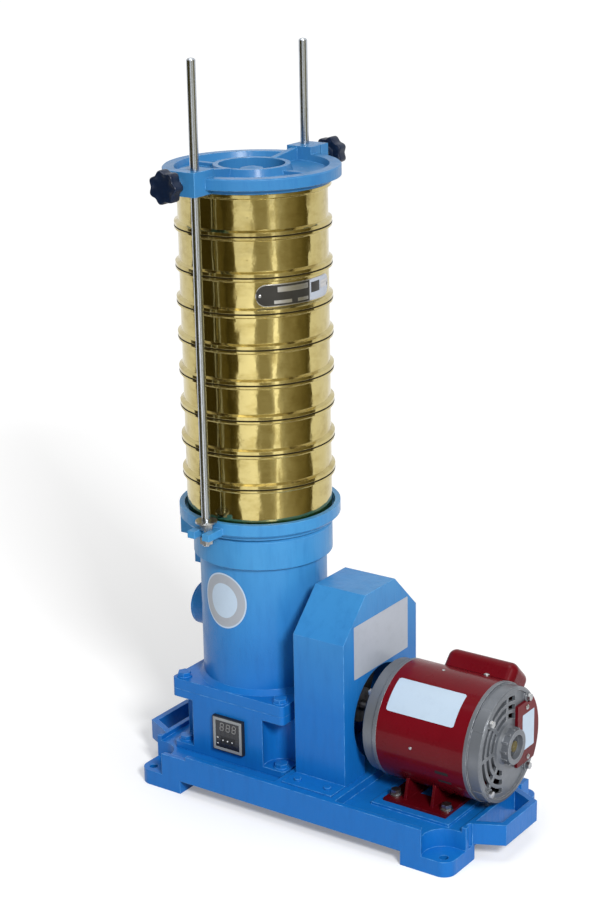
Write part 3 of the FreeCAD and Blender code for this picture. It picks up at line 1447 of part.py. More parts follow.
def clamp_knob(name, side, z):
    """A lobed hand knob on the screw that pinches the slit block on its rod."""
    x = f"{TABLE_X}+{side}*clamp_screw_offset"
    height = clamp_height(z)
    hub_start = "(block_outer+clamp_nut_height+seat_gap)"
    head_start = f"({hub_start}+knob_hub_length)"
    screw = cylinder(name + "_screw", "clamp_screw_radius", f"{head_start}-clamp_screw_end", x,
                     f"{side}*clamp_screw_end", height, outward(side))
    hub = cylinder(name + "_hub", "knob_hub_radius", "knob_hub_length+1", x, f"{side}*{hub_start}", height,
                   outward(side))
    core = cylinder(name + "_core", "knob_radius", "knob_thickness", x, f"{side}*{head_start}", height,
                    outward(side))
    pieces = [screw, hub, core]
    lobes = int(value("knob_lobes"))
    for number in range(lobes):
        angle = 2 * math.pi * (number + 0.25) / lobes
        pieces.append(cylinder(f"{name}_lobe_{number + 1}", "knob_lobe_radius", "knob_thickness-2",
                               f"{x}+knob_radius*{math.cos(angle):.6f}", f"{side}*({head_start}+1)",
                               f"{height}+knob_radius*{math.sin(angle):.6f}", outward(side)))
    return fuse(name, *pieces)


# Panel timer

def timer_bezel():
    """The bezel plate: a raised frame round a face with a window pocket and three key holes."""
    frame = block("bezel_plate", "timer_width", "timer_bezel_depth", "timer_width", "timer_x",
                  f"{TIMER_FACE}-timer_bezel_depth/2", "timer_height-timer_width/2")
    face = f"({TIMER_FACE}-timer_bezel_depth+timer_face_recess)"
    face_width = "(timer_width-2*timer_frame)"
    tools = [
        block("bezel_face_room", face_width, "timer_face_recess+1", face_width, "timer_x",
              f"{face}-(timer_face_recess+1)/2", "timer_height-timer_width/2+timer_frame"),
        block("bezel_window_room", "timer_window_width", "timer_window_sheet+1", "timer_window_height",
              "timer_x", f"{face}+(timer_window_sheet-1)/2", "timer_height+1"),
    ]
    for number in range(3):
        tools.append(block(f"bezel_key_room_{number + 1}", "key_width+2*seat_gap", "2*timer_bezel_depth+2",
                           "key_height+2*seat_gap", key_x(number), TIMER_FACE,
                           "timer_height-key_drop-key_height/2-seat_gap"))
    return cut("timer_bezel", frame, *tools)


def timer_window():
    face = f"({TIMER_FACE}-timer_bezel_depth+timer_face_recess)"
    return block("timer_window", "timer_window_width-2*seat_gap", "timer_window_sheet",
                 "timer_window_height-2*seat_gap", "timer_x", f"{face}+timer_window_sheet/2",
                 "timer_height+1+seat_gap")


def timer_case():
    """The case behind the panel, with room for the keys' travel."""
    case = block("case_body", "timer_case_width", "timer_case_depth", "timer_case_width", "timer_x",
                 f"{TIMER_FACE}+timer_case_depth/2", "timer_height-timer_case_width/2")
    room = block("case_key_room", "2*key_pitch+key_width+2", "2*(key_travel+1)", "key_height+2", "timer_x",
                 TIMER_FACE, "timer_height-key_drop-key_height/2-1")
    return cut("timer_case", case, room)


def key_x(number):
    return f"timer_x+{number - 1}*key_pitch"


def timer_key(number):
    """A key cap that stands proud of the bezel's face and slides in through it."""
    depth = "(timer_bezel_depth-timer_face_recess+key_proud)"
    return block(f"timer_key_{number + 1}", "key_width", depth, "key_height", key_x(number),
                 f"{TIMER_FACE}-{depth}/2", "timer_height-key_drop-key_height/2")


# Assembly

def build():
    heights, pitches = stack_heights()
    ring_seat = f"({heights[-1]}+lid_height)"
    node("base_casting", base_casting())
    node("lower_housing", lower_housing())
    node("column_casting", column_casting())
    node("housing_bolts", flange_bolts("housing_bolts", "(deck_height+lower_flange)", "lower_flange"))
    node("column_bolts", flange_bolts("column_bolts", f"({HOUSING_TOP}+column_flange)",
                                      "column_flange+upper_flange"))
    node("left_bearing_cap", left_bearing_cap())
    node("anti_rotation_bracket", anti_rotation_bracket())
    node("input_shaft_bearings", shaft_bearings())
    node("spindle_bearings", spindle_bearings())
    node("input_shaft", input_shaft())
    node("bevel_pinion", bevel_pinion())
    node("bevel_gear", driven_bevel_gear())
    node("eccentric_spindle", eccentric_spindle())
    node("counterweight", counterweight())
    node("driven_pulley", vee_pulley("driven_pulley", "driven_pulley_radius", "shaft_radius", "pulley_x",
                                     "drive_height"))
    node("motor_pulley", vee_pulley("motor_pulley", "motor_pulley_radius", "motor_shaft_radius", "pulley_x",
                                    "motor_axis_height"))
    node("drive_belt", drive_belt())
    node("belt_guard", belt_guard())
    node("guard_screws", guard_screws())
    node("motor_shell", motor_shell())
    outer_bell = end_bell("outer_bell", MOTOR_FAR_END, 1)
    node("motor_outer_bell", cut("motor_outer_bell", outer_bell, bell_vents("vents", MOTOR_FAR_END)))
    node("motor_inner_bell", end_bell("inner_bell", "motor_x", -1))
    node("motor_through_bolts", motor_through_bolts())
    node("motor_stator", motor_stator())
    node("motor_rotor", motor_rotor())
    node("motor_shaft", motor_shaft())
    node("motor_bearings", motor_bearings())
    node("motor_foot", motor_foot())
    node("motor_bolts", motor_bolts())
    node("capacitor_cover", capacitor_cover())
    node("capacitor", capacitor())
    node("terminal_cover", terminal_cover())
    node("sieve_table", sieve_table())
    node("table_bearing", table_bearing())
    node("front_rod", clamp_rod("front_rod", -1))
    node("back_rod", clamp_rod("back_rod", 1))
    node("rod_nuts", rod_nuts())
    node("rod_washers", rod_washers())
    node("receiver_pan", receiver_pan())
    for number, pitch in enumerate(pitches, start=1):
        node(f"sieve_{number}", sieve(f"sieve_{number}", pitch, heights[number - 1]))
    node("lid", lid(heights[-1]))
    node("clamp_ring", clamp_ring(ring_seat))
    node("clamp_nuts", clamp_nuts(ring_seat))
    node("front_clamp_knob", clamp_knob("front_clamp_knob", -1, ring_seat))
    node("back_clamp_knob", clamp_knob("back_clamp_knob", 1, ring_seat))
    node("timer_bezel", timer_bezel())
    node("timer_window", timer_window())
    node("timer_case", timer_case())
    for number in range(3):
        node(f"timer_key_{number + 1}", timer_key(number))


def check():
    for thing in doc.Objects:
        if "Invalid" in thing.State or "Error" in thing.State:
            raise RuntimeError(f"{thing.Label} failed: {thing.State}")
    for name, thing in nodes.items():
        if thing.Shape.isNull() or not thing.Shape.isValid():
            raise RuntimeError(f"{name} has no valid shape")


def export():
    os.makedirs("parts", exist_ok=True)
    for name, thing in nodes.items():
        thing.Shape.exportStep(f"parts/{name}.step")
        print(name, len(thing.Shape.Solids), round(thing.Shape.Volume / 1000, 1), "cm3")


build()
doc.recompute()
check()
export()
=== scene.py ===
# The looks of the sieve shaker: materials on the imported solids, small visible parts, light and camera.
# Metres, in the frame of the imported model: X along the base towards the motor, Y to the back, Z up.
import json
import math

import bmesh
import bpy
from mathutils import Matrix, Quaternion, Vector


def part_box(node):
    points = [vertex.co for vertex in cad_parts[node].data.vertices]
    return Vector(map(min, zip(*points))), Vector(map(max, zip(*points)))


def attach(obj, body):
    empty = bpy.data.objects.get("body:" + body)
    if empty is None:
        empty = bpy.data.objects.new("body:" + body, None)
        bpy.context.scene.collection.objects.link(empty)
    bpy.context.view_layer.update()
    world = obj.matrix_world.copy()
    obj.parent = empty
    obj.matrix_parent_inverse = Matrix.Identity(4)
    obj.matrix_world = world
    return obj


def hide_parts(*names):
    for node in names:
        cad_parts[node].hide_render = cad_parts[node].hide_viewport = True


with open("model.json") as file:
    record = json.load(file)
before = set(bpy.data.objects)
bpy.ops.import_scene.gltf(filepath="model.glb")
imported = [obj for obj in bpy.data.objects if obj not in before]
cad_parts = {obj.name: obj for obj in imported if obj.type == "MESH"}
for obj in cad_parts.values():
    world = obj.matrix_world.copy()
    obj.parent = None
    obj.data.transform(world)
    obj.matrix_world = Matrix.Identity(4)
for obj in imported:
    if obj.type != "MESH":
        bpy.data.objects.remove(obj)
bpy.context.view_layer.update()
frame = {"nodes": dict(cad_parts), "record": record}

# Places on the object

ALONG = Vector((1, 0, 0))
BACK = Vector((0, 1, 0))
UP = Vector((0, 0, 1))


def middle_of(node):
    """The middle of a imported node's box."""
    low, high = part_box(node)
    return (low + high) / 2


# The eccentric's throw, by which the table and the stack stand off the spindle at rest
THROW = 0.004
SPINDLE_X = middle_of("lower_housing").x
TABLE_X = SPINDLE_X - THROW
SHELL_MIDDLE_X = middle_of("motor_shell").x
MOTOR_AXIS_Z = middle_of("motor_outer_bell").z
COLUMN_RADIUS = 0.0896
SHELL_RADIUS = 0.0825
SIEVE_RADIUS = 0.1015
BELL_RADIUS = 0.0795


# Tools for materials

def new_material(name):
    """A fresh material, with its node tree and its shader."""
    material = bpy.data.materials.new(name)
    material.use_nodes = True
    return material, material.node_tree, material.node_tree.nodes["Principled BSDF"]


def add(tree, kind, inputs=None, **settings):
    """A node with its settings made and its inputs set to values or linked to sockets."""
    node = tree.nodes.new(kind)
    for key, setting in settings.items():
        setattr(node, key, setting)
    for key, source in (inputs or {}).items():
        if isinstance(source, bpy.types.NodeSocket):
            tree.links.new(source, node.inputs[key])
        else:
            node.inputs[key].default_value = source
    return node


def combine(tree, operation, first, second=0.0):
    """The result of one sum on one or two values."""
    return add(tree, "ShaderNodeMath", {0: first, 1: second}, operation=operation).outputs[0]


def place_on_piece(tree, stretch=(1, 1, 1)):
    """The place on the piece at rest, in metres, stretched along each axis."""
    place = add(tree, "ShaderNodeTexCoord").outputs["Object"]
    if stretch == (1, 1, 1):
        return place
    return add(tree, "ShaderNodeVectorMath", {0: place, 1: stretch}, operation="MULTIPLY").outputs[0]


def height_on_piece(tree):
    """How high a point of the piece is at rest."""
    return add(tree, "ShaderNodeSeparateXYZ", {0: place_on_piece(tree)}).outputs["Z"]


def noise(tree, place, scale, detail=3.0, roughness=0.55):
    """Soft random values from 0 to 1."""
    return add(tree, "ShaderNodeTexNoise", {"Vector": place, "Scale": scale, "Detail": detail,
                                            "Roughness": roughness}).outputs["Fac"]


def spread(tree, source, between, results=(0.0, 1.0)):
    """A value moved from one range to another and kept inside it."""
    return add(tree, "ShaderNodeMapRange", {"Value": source, "From Min": between[0], "From Max": between[1],
                                            "To Min": results[0], "To Max": results[1]}).outputs[0]


# A mix node has sockets for numbers and vectors before those for colours
MIX_FIRST_COLOUR = 6
MIX_SECOND_COLOUR = 7
MIX_COLOUR_RESULT = 2


def blend_colours(tree, share, first, second):
    """The first colour where the share is 0 and the second where it is 1."""
    mix = add(tree, "ShaderNodeMix", {"Factor": share}, data_type="RGBA")
    for number, colour in ((MIX_FIRST_COLOUR, first), (MIX_SECOND_COLOUR, second)):
        if isinstance(colour, bpy.types.NodeSocket):
            tree.links.new(colour, mix.inputs[number])
        else:
            mix.inputs[number].default_value = (*colour, 1.0)
    return mix.outputs[MIX_COLOUR_RESULT]


def soft_edges(tree, radius):
    """The normal with every sharp edge rounded off to a radius."""
    return add(tree, "ShaderNodeBevel", {"Radius": radius}, samples=6).outputs[0]


# How alike the true and the rounded normal are, away from an edge and on it
LIKENESS_TO_EDGE = (0.98, 0.78)


def edge_wear_and_highlight(tree, normal, patch_scale, patch_range, wear_and_highlight):
    """How pale the paint is made near an edge, in patches between two shares: rubbed-off paint, and on the
    blue and grey paints a painted highlight as well.
    """
    true_normal = add(tree, "ShaderNodeNewGeometry").outputs["Normal"]
    likeness = add(tree, "ShaderNodeVectorMath", {0: normal, 1: true_normal}, operation="DOT_PRODUCT")
    near = spread(tree, likeness.outputs["Value"], LIKENESS_TO_EDGE)
    patches = spread(tree, noise(tree, place_on_piece(tree), patch_scale), patch_range, wear_and_highlight)
    return combine(tree, "MULTIPLY", near, patches)


def bumps(tree, normal, *layers):
    """Layers of relief, each a height and its depth in metres."""
    for height, depth in layers:
        normal = add(tree, "ShaderNodeBump", {"Height": height, "Distance": depth, "Strength": 1.0,
                                              "Normal": normal}).outputs[0]
    return normal


def patchy_roughness(tree, scale, between):
    """A roughness that changes slowly over the piece."""
    return spread(tree, noise(tree, place_on_piece(tree), scale), (0.3, 0.7), between)


UNIFORM_SOCKETS = {
    "metallic": "Metallic",
    "shine": "Specular IOR Level",
    "coat": "Coat Weight",
    "coat_roughness": "Coat Roughness",
}


def join(tree, shader, colour, roughness, normal, **uniform):
    """Link what varies to the shader and set what is the same all over."""
    for socket, source in (("Base Color", colour), ("Roughness", roughness), ("Normal", normal)):
        tree.links.new(source, shader.inputs[socket])
    for name, amount in uniform.items():
        shader.inputs[UNIFORM_SOCKETS[name]].default_value = amount


# Paint and metal colours

# The blue darkens low down as painted shade and lightens higher up as painted light.
SHADED_LOW_BLUE = (0.006, 0.148, 0.490)
LIT_HIGH_BLUE = (0.056, 0.275, 0.560)
TOP_BLUE = (0.038, 0.190, 0.415)
# The pale edge blue: partly chipped paint, partly a painted highlight.
RUBBED_AND_HIGHLIT_BLUE = (0.180, 0.470, 0.840)
DEEP_BLUE = (0.004, 0.074, 0.280)
BRASS = (0.510, 0.425, 0.175)
TARNISHED_BRASS = (0.300, 0.215, 0.045)
BRASS_SPECK = (0.120, 0.080, 0.020)
BRIGHT_RED = (0.155, 0.003, 0.009)
DARK_RED = (0.105, 0.002, 0.006)
# The red low on the motor: painted shade.
SHADED_LOW_RED = (0.040, 0.001, 0.002)
RUBBED_RED = (0.360, 0.045, 0.055)
DUSTY_RED = (0.190, 0.040, 0.042)
BELL_GREY = (0.180, 0.196, 0.222)
# A darker grey, laid on in random patches.
DARK_BELL_GREY = (0.100, 0.110, 0.126)
# The pale edge grey: partly rubbed paint, partly a painted highlight.
RUBBED_AND_HIGHLIT_BELL_GREY = (0.640, 0.655, 0.680)

# Heights between which the paint changes, with painted shade below and painted light above on the blue and
# painted shade low on the red, and the rough casting low on the column
PAINTED_LIGHT_BLUE_RISE = (0.16, 0.36)
TOP_BLUE_RISE = (0.50, 0.85)
PAINTED_SHADE_RED_RISE = (0.07, 0.17)
ROUGH_RING_HEIGHT = 0.222
ROUGH_RING_REACH = (0.018, 0.050)


# Materials

def blue_enamel(name, cast_depth):
    """Thick blue enamel brushed over a casting: painted shade low down and painted light higher up, pale on
    edges from chips and from a painted highlight, roughest over the housing.
    """
    material, tree, shader = new_material(name)
    place = place_on_piece(tree)
    height = height_on_piece(tree)
    normal = soft_edges(tree, 0.0016)

    # Painted shade and light: darker blue low down, lighter blue higher up, then the top blue.
    colour = blend_colours(tree, spread(tree, height, PAINTED_LIGHT_BLUE_RISE), SHADED_LOW_BLUE, LIT_HIGH_BLUE)
    colour = blend_colours(tree, spread(tree, height, TOP_BLUE_RISE), colour, TOP_BLUE)
    brushed = noise(tree, place_on_piece(tree, (1, 1, 0.18)), 85.0, detail=4.0, roughness=0.6)
    clouds = spread(tree, noise(tree, place, 9.0, detail=4.0), (0.35, 0.75), (0.0, 0.20))
    strokes = spread(tree, brushed, (0.48, 0.72), (0.0, 0.16))
    colour = blend_colours(tree, combine(tree, "ADD", clouds, strokes), colour, DEEP_BLUE)
    # Pale edges: chips and a painted highlight along every edge.
    wear_and_highlight = edge_wear_and_highlight(tree, normal, 90.0, (0.4, 0.6), (0.15, 0.9))
    colour = blend_colours(tree, wear_and_highlight, colour, RUBBED_AND_HIGHLIT_BLUE)

    from_ring = combine(tree, "ABSOLUTE", combine(tree, "SUBTRACT", height, ROUGH_RING_HEIGHT))
    rough_ring = spread(tree, from_ring, ROUGH_RING_REACH, (1.0, 0.0))
    rough_patch = spread(tree, noise(tree, place, 7.0), (0.50, 0.68), (0.10, 0.55))
    grain = combine(tree, "MULTIPLY", noise(tree, place, 380.0, detail=4.0, roughness=0.65),
                    combine(tree, "MAXIMUM", rough_ring, rough_patch))
    normal = bumps(tree, normal, (brushed, 0.0006), (grain, cast_depth))
    join(tree, shader, colour, patchy_roughness(tree, 30.0, (0.28, 0.42)), normal,
         shine=0.14, coat=0.16, coat_roughness=0.22)
    return material


def polished_brass():
    """Spun brass: fine turned lines, slow waves in the sheet, and darker tarnish in patches."""
    material, tree, shader = new_material("polished_brass")
    place = place_on_piece(tree)
    lines = noise(tree, place_on_piece(tree, (4, 4, 1400)), 1.0, detail=4.0, roughness=0.7)
    waves = noise(tree, place_on_piece(tree, (1, 1, 0.5)), 26.0, detail=2.0)
    dents = noise(tree, place, 75.0, detail=2.0)
    clouds = noise(tree, place_on_piece(tree, (1, 1, 1.6)), 34.0, detail=6.0, roughness=0.65)
    tarnish = spread(tree, clouds, (0.46, 0.72), (0.0, 0.55))
    colour = blend_colours(tree, tarnish, BRASS, TARNISHED_BRASS)
    specks = spread(tree, noise(tree, place, 330.0, detail=2.0), (0.70, 0.78), (0.0, 0.6))
    colour = blend_colours(tree, specks, colour, BRASS_SPECK)
    roughness = combine(tree, "ADD", spread(tree, lines, (0.3, 0.7), (0.06, 0.13)),
                        combine(tree, "MULTIPLY", tarnish, 0.16))
    normal = bumps(tree, soft_edges(tree, 0.0011), (waves, 0.0016), (dents, 0.00018), (lines, 0.000012))
    join(tree, shader, colour, roughness, normal, metallic=1.0)
    return material


def bare_metal(name, light, dark, rough, stretch=(1, 1, 1), scale=60.0, grain=0.00003, metallic=1.0,
               edge=0.0004):
    """Metal with slow colour changes and a grain that can run one way."""
    material, tree, shader = new_material(name)
    streaks = noise(tree, place_on_piece(tree, stretch), scale, detail=5.0, roughness=0.6)
    colour = blend_colours(tree, spread(tree, streaks, (0.3, 0.7)), light, dark)
    stains = spread(tree, noise(tree, place_on_piece(tree), 150.0), (0.62, 0.8), (0.0, 0.5))
    colour = blend_colours(tree, stains, colour, tuple(0.4 * part for part in dark))
    roughness = spread(tree, streaks, (0.3, 0.7), rough)
    normal = bumps(tree, soft_edges(tree, edge), (streaks, grain))
    join(tree, shader, colour, roughness, normal, metallic=metallic)
    return material


def red_enamel():
    """Dark red gloss enamel on pressed steel: painted shade low down, dusty, with rubbed edges."""
    material, tree, shader = new_material("red_enamel")
    place = place_on_piece(tree)
    normal = soft_edges(tree, 0.0008)
    colour = blend_colours(tree, noise(tree, place, 14.0), BRIGHT_RED, DARK_RED)
    # Painted shade: the red darkens towards the bottom of the motor.
    low = spread(tree, height_on_piece(tree), PAINTED_SHADE_RED_RISE, (0.55, 0.0))
    colour = blend_colours(tree, low, colour, SHADED_LOW_RED)
    wear_and_highlight = edge_wear_and_highlight(tree, normal, 120.0, (0.45, 0.6), (0.0, 0.6))
    colour = blend_colours(tree, wear_and_highlight, colour, RUBBED_RED)
    dust = spread(tree, noise(tree, place, 240.0, detail=4.0), (0.70, 0.80), (0.0, 0.20))
    colour = blend_colours(tree, dust, colour, DUSTY_RED)
    normal = bumps(tree, normal, (noise(tree, place, 30.0), 0.0004), (noise(tree, place, 700.0), 0.00003))
    join(tree, shader, colour, patchy_roughness(tree, 40.0, (0.24, 0.38)), normal,
         shine=0.08, coat=0.15, coat_roughness=0.06)
    return material


def grey_bell_paint():
    """Grey painted die casting, darker in random patches, and pale on its edges from rubbing and from a
    painted highlight.
    """
    material, tree, shader = new_material("grey_bell_paint")
    place = place_on_piece(tree)
    normal = soft_edges(tree, 0.0010)
    colour = blend_colours(tree, noise(tree, place, 25.0, detail=4.0), BELL_GREY, DARK_BELL_GREY)
    # Pale edges: rubbed paint and a painted highlight along every edge.
    wear_and_highlight = edge_wear_and_highlight(tree, normal, 140.0, (0.4, 0.6), (0.15, 0.8))
    colour = blend_colours(tree, wear_and_highlight, colour, RUBBED_AND_HIGHLIT_BELL_GREY)
    normal = bumps(tree, normal, (noise(tree, place, 600.0, detail=4.0, roughness=0.7), 0.00010))
    join(tree, shader, colour, patchy_roughness(tree, 50.0, (0.32, 0.48)), normal, metallic=0.35)
    return material


def plastic(name, light, dark, rough, grain=0.00004, grain_scale=1600.0, shine=0.5):
    """Moulded plastic with a fine spark-eroded grain."""
    material, tree, shader = new_material(name)
    place = place_on_piece(tree)
    colour = blend_colours(tree, noise(tree, place, 40.0, detail=4.0), light, dark)
    normal = bumps(tree, soft_edges(tree, 0.0006), (noise(tree, place, grain_scale, detail=2.0), grain))
    join(tree, shader, colour, patchy_roughness(tree, 90.0, rough), normal, shine=shine)
    return material


def vinyl(name, light, dark):
    """A printed film: nearly even, a little dirty, with a soft gloss."""
    material, tree, shader = new_material(name)
    place = place_on_piece(tree)
    dirt = spread(tree, noise(tree, place, 60.0, detail=5.0, roughness=0.65), (0.5, 0.8), (0.0, 0.4))
    colour = blend_colours(tree, dirt, light, dark)
    normal = bumps(tree, soft_edges(tree, 0.0002), (noise(tree, place, 220.0), 0.00003))
    join(tree, shader, colour, patchy_roughness(tree, 35.0, (0.28, 0.42)), normal)
    return material


# Each metal, plastic and film has its light and its dark colour, then the range of its roughness
MATERIALS = {
    "cast_blue": blue_enamel("cast_blue", cast_depth=0.00065),
    "sheet_blue": blue_enamel("sheet_blue", cast_depth=0.00012),
    "brass": polished_brass(),
    "chrome": bare_metal("bright_plating", (0.50, 0.53, 0.57), (0.38, 0.41, 0.45), (0.18, 0.28),
                         stretch=(40, 40, 6), scale=9.0),
    "zinc": bare_metal("zinc_plating", (0.56, 0.57, 0.58), (0.30, 0.31, 0.33), (0.24, 0.42), scale=220.0),
    "steel": bare_metal("turned_steel", (0.52, 0.53, 0.55), (0.32, 0.33, 0.35), (0.20, 0.36),
                        stretch=(1, 60, 60), scale=12.0),
    "bearing": bare_metal("ground_steel", (0.62, 0.63, 0.65), (0.46, 0.47, 0.49), (0.12, 0.22), scale=90.0),
    "iron": bare_metal("grey_iron", (0.16, 0.16, 0.17), (0.08, 0.08, 0.09), (0.42, 0.62), scale=130.0,
                       grain=0.0002, metallic=0.7, edge=0.0010),
    "core": bare_metal("stacked_sheet", (0.20, 0.20, 0.21), (0.06, 0.06, 0.07), (0.40, 0.60),
                       stretch=(900, 1, 1), scale=1.0, grain=0.0003, metallic=0.8),
    # Brass darkened as painted shade, for the shaft end deep in the bell's hub.
    "brass_in_painted_shade": bare_metal("brass_in_painted_shade", (0.160, 0.130, 0.035), (0.080, 0.062, 0.018), (0.34, 0.50),
                             scale=260.0),
    "plate": bare_metal("etched_plate", (0.60, 0.60, 0.60), (0.42, 0.42, 0.43), (0.26, 0.40),
                        stretch=(4, 4, 120), scale=6.0),
    "can": bare_metal("drawn_aluminium", (0.70, 0.71, 0.72), (0.52, 0.53, 0.55), (0.22, 0.34),
                      stretch=(2, 60, 60), scale=9.0),
    "red": red_enamel(),
    "bell": grey_bell_paint(),
    "rubber": plastic("belt_rubber", (0.018, 0.018, 0.018), (0.008, 0.008, 0.009), (0.60, 0.80),
                      grain=0.0002, grain_scale=500.0),
    "knob": plastic("navy_plastic", (0.003, 0.013, 0.042), (0.002, 0.006, 0.020), (0.30, 0.44), shine=0.3),
    "dark_case": plastic("dark_case", (0.013, 0.014, 0.017), (0.007, 0.008, 0.010), (0.36, 0.50)),
    "grey_frame": plastic("grey_frame", (0.300, 0.315, 0.320), (0.210, 0.222, 0.230), (0.34, 0.46)),
    "face": plastic("dark_face", (0.016, 0.018, 0.024), (0.010, 0.011, 0.015), (0.14, 0.24), grain=0.00001),
    "key": plastic("key_rubber", (0.008, 0.008, 0.009), (0.004, 0.004, 0.005), (0.30, 0.42)),
    # A dark brown ring colour painted as the shadow in the joints of the stack.
    "seam": plastic("seam_painted_shadow", (0.024, 0.017, 0.004), (0.012, 0.008, 0.002), (0.50, 0.70), shine=0.08),
    # Near black, painted as the shade inside the motor's cooling slits.
    "dark": plastic("slit_painted_shade", (0.004, 0.004, 0.004), (0.002, 0.002, 0.002), (0.70, 0.90)),
    "digit": vinyl("digit_segments", (0.230, 0.225, 0.220), (0.150, 0.145, 0.140)),
    "mark": vinyl("white_print", (0.720, 0.730, 0.740), (0.520, 0.530, 0.540)),
    "white": vinyl("white_vinyl", (0.450, 0.560, 0.680), (0.360, 0.450, 0.560)),
    "grey": vinyl("grey_vinyl", (0.330, 0.355, 0.395), (0.240, 0.260, 0.290)),
    "silver": vinyl("silver_vinyl", (0.390, 0.425, 0.490), (0.300, 0.325, 0.375)),
    "black": vinyl("black_print", (0.016, 0.015, 0.013), (0.030, 0.028, 0.024)),
}

SLOT_MATERIALS = {
    "blue_enamel_casting": "cast_blue",
    "blue_enamel_sheet": "sheet_blue",
    "polished_brass": "brass",
    "chromed_rod": "chrome",
    "zinc_fastener": "zinc",
    "machined_steel": "steel",
    "bearing_steel": "bearing",
    "cast_iron_pulley": "iron",
    "belt_rubber": "rubber",
    "red_motor_paint": "red",
    "bell_aluminium": "bell",
    "laminated_core": "core",
    "knob_plastic": "knob",
    "timer_plastic": "dark_case",
    "key_plastic": "key",
    "timer_lens": "face",
    "capacitor_can": "can",
}

PAINTED_OVER = ("guard_screws",)


def paint_packed_nodes():
    """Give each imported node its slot's material, or blue where the machine was painted over it."""
    for subpart in frame["record"]["subparts"]:
        thing = frame["nodes"][subpart["node"]]
        key = SLOT_MATERIALS[subpart["material_slot"]]
        material = MATERIALS["cast_blue" if subpart["node"] in PAINTED_OVER else key]
        if not thing.material_slots:
            thing.data.materials.append(material)
        for slot in thing.material_slots:
            slot.material = material


# Tools for small parts

EDGE_SEGMENTS = 2
EDGE_ANGLE = 30


def add_to_scene(name, data):
    """A new object of the scene."""
    thing = bpy.data.objects.new(name, data)
    bpy.context.scene.collection.objects.link(thing)
    return thing


def object_from(name, mesh, materials):
    """A new object with a finished mesh and its materials."""
    data = bpy.data.meshes.new(name)
    mesh.to_mesh(data)
    mesh.free()
    for material in materials:
        data.materials.append(material)
    return add_to_scene(name, data)


def finish_piece(name, mesh, body, materials, smooth_angle=35, bevel=0.0):
    """Turn a mesh into a piece of a body, with its curved faces smooth and, when a bevel is given, its edges
    rounded.
    """
    bmesh.ops.recalc_face_normals(mesh, faces=mesh.faces)
    piece = object_from(name, mesh, [MATERIALS[key] for key in materials])
    if bevel:
        modifier = piece.modifiers.new("edges", "BEVEL")
        modifier.width = bevel
        modifier.segments = EDGE_SEGMENTS
        modifier.limit_method = "ANGLE"
        modifier.angle_limit = math.radians(EDGE_ANGLE)
    piece.data.shade_smooth()
    piece.data.set_sharp_from_angle(angle=math.radians(smooth_angle))
    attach(piece, body)
    return piece


def on_circle(step, steps, radius):
    """The x and y of one of the even steps round a circle."""
    angle = 2 * math.pi * step / steps
    return radius * math.cos(angle), radius * math.sin(angle)


def join_rings(mesh, rings, material=0):
    """Faces between each two rings of points. A ring of one point closes the surface."""
    steps = max(len(ring) for ring in rings)
    for first, second in zip(rings, rings[1:]):
        for step in range(steps):
            after = step + 1
            corners = [first[step % len(first)], first[after % len(first)], second[after % len(second)],
                       second[step % len(second)]]
            unique = list(dict.fromkeys(corners))
            if len(unique) > 2:
                mesh.faces.new(unique).material_index = material


def lathe(mesh, profile, turn, segments=48):
    """Turn a profile of radius and height about the local Z axis, then put it in place."""
    rings = []
    for radius, height in profile:
        steps = segments if radius else 1
        rings.append([mesh.verts.new(turn @ Vector((*on_circle(step, steps, radius), height)))
                      for step in range(steps)])
    join_rings(mesh, rings)


def slab(mesh, outline, turn, thickness, material=0):
    """A flat plate from an outline in the local XY plane, standing up from it."""
    bottom, top = [[mesh.verts.new(turn @ Vector((x, y, height))) for x, y in outline]
                   for height in (0, thickness)]
    faces = [mesh.faces.new(top), mesh.faces.new(bottom[::-1])]
    for step in range(len(outline)):
        after = (step + 1) % len(outline)
        faces.append(mesh.faces.new([bottom[step], bottom[after], top[after], top[step]]))
    for face in faces:
        face.material_index = material


def rounded_outline(width, height, radius, steps=5):
    """The outline of a rectangle with round corners about the origin."""
    points = []
    for quarter, (side_x, side_y) in enumerate([(1, 1), (-1, 1), (-1, -1), (1, -1)]):
        for step in range(steps + 1):
            angle = math.radians(90 * quarter + 90 * step / steps)
            points.append((side_x * (width / 2 - radius) + radius * math.cos(angle),
                           side_y * (height / 2 - radius) + radius * math.sin(angle)))
    return points


def facing(middle, across, up):
    """The matrix that puts a local XY plate at a middle, with its X and Y along two directions."""
    across, up = Vector(across).normalized(), Vector(up).normalized()
    turn = Matrix((across, up, across.cross(up))).transposed().to_4x4()
    return Matrix.Translation(Vector(middle)) @ turn


def wrapped(mesh, half_width, half_height_at, put, thickness, columns=28, rows=6, material=0):
    """A thin plate wrapped on a curve, with an outline that is even about both axes.

    put(along, up, lift) gives a point of it.
    """
    def grid(lift):
        made = []
        for column in range(columns + 1):
            along = -half_width + 2 * half_width * column / columns
            tall = half_height_at(along)
            made.append([mesh.verts.new(put(along, -tall + 2 * tall * row / rows, lift))
                         for row in range(rows + 1)])
        return made

    top, bottom = grid(thickness), grid(0.0)
    faces = []
    for column in range(columns):
        after = column + 1
        for row in range(rows):
            faces.append([top[column][row], top[after][row], top[after][row + 1], top[column][row + 1]])
            faces.append([bottom[column][row], bottom[column][row + 1], bottom[after][row + 1],
                          bottom[after][row]])
        for row in (0, rows):
            faces.append([top[column][row], bottom[column][row], bottom[after][row], top[after][row]])
    for row in range(rows):
        for upper, lower in ((top[0], bottom[0]), (top[columns], bottom[columns])):
            faces.append([upper[row], upper[row + 1], lower[row + 1], lower[row]])
    for corners in faces:
        mesh.faces.new(corners).material_index = material


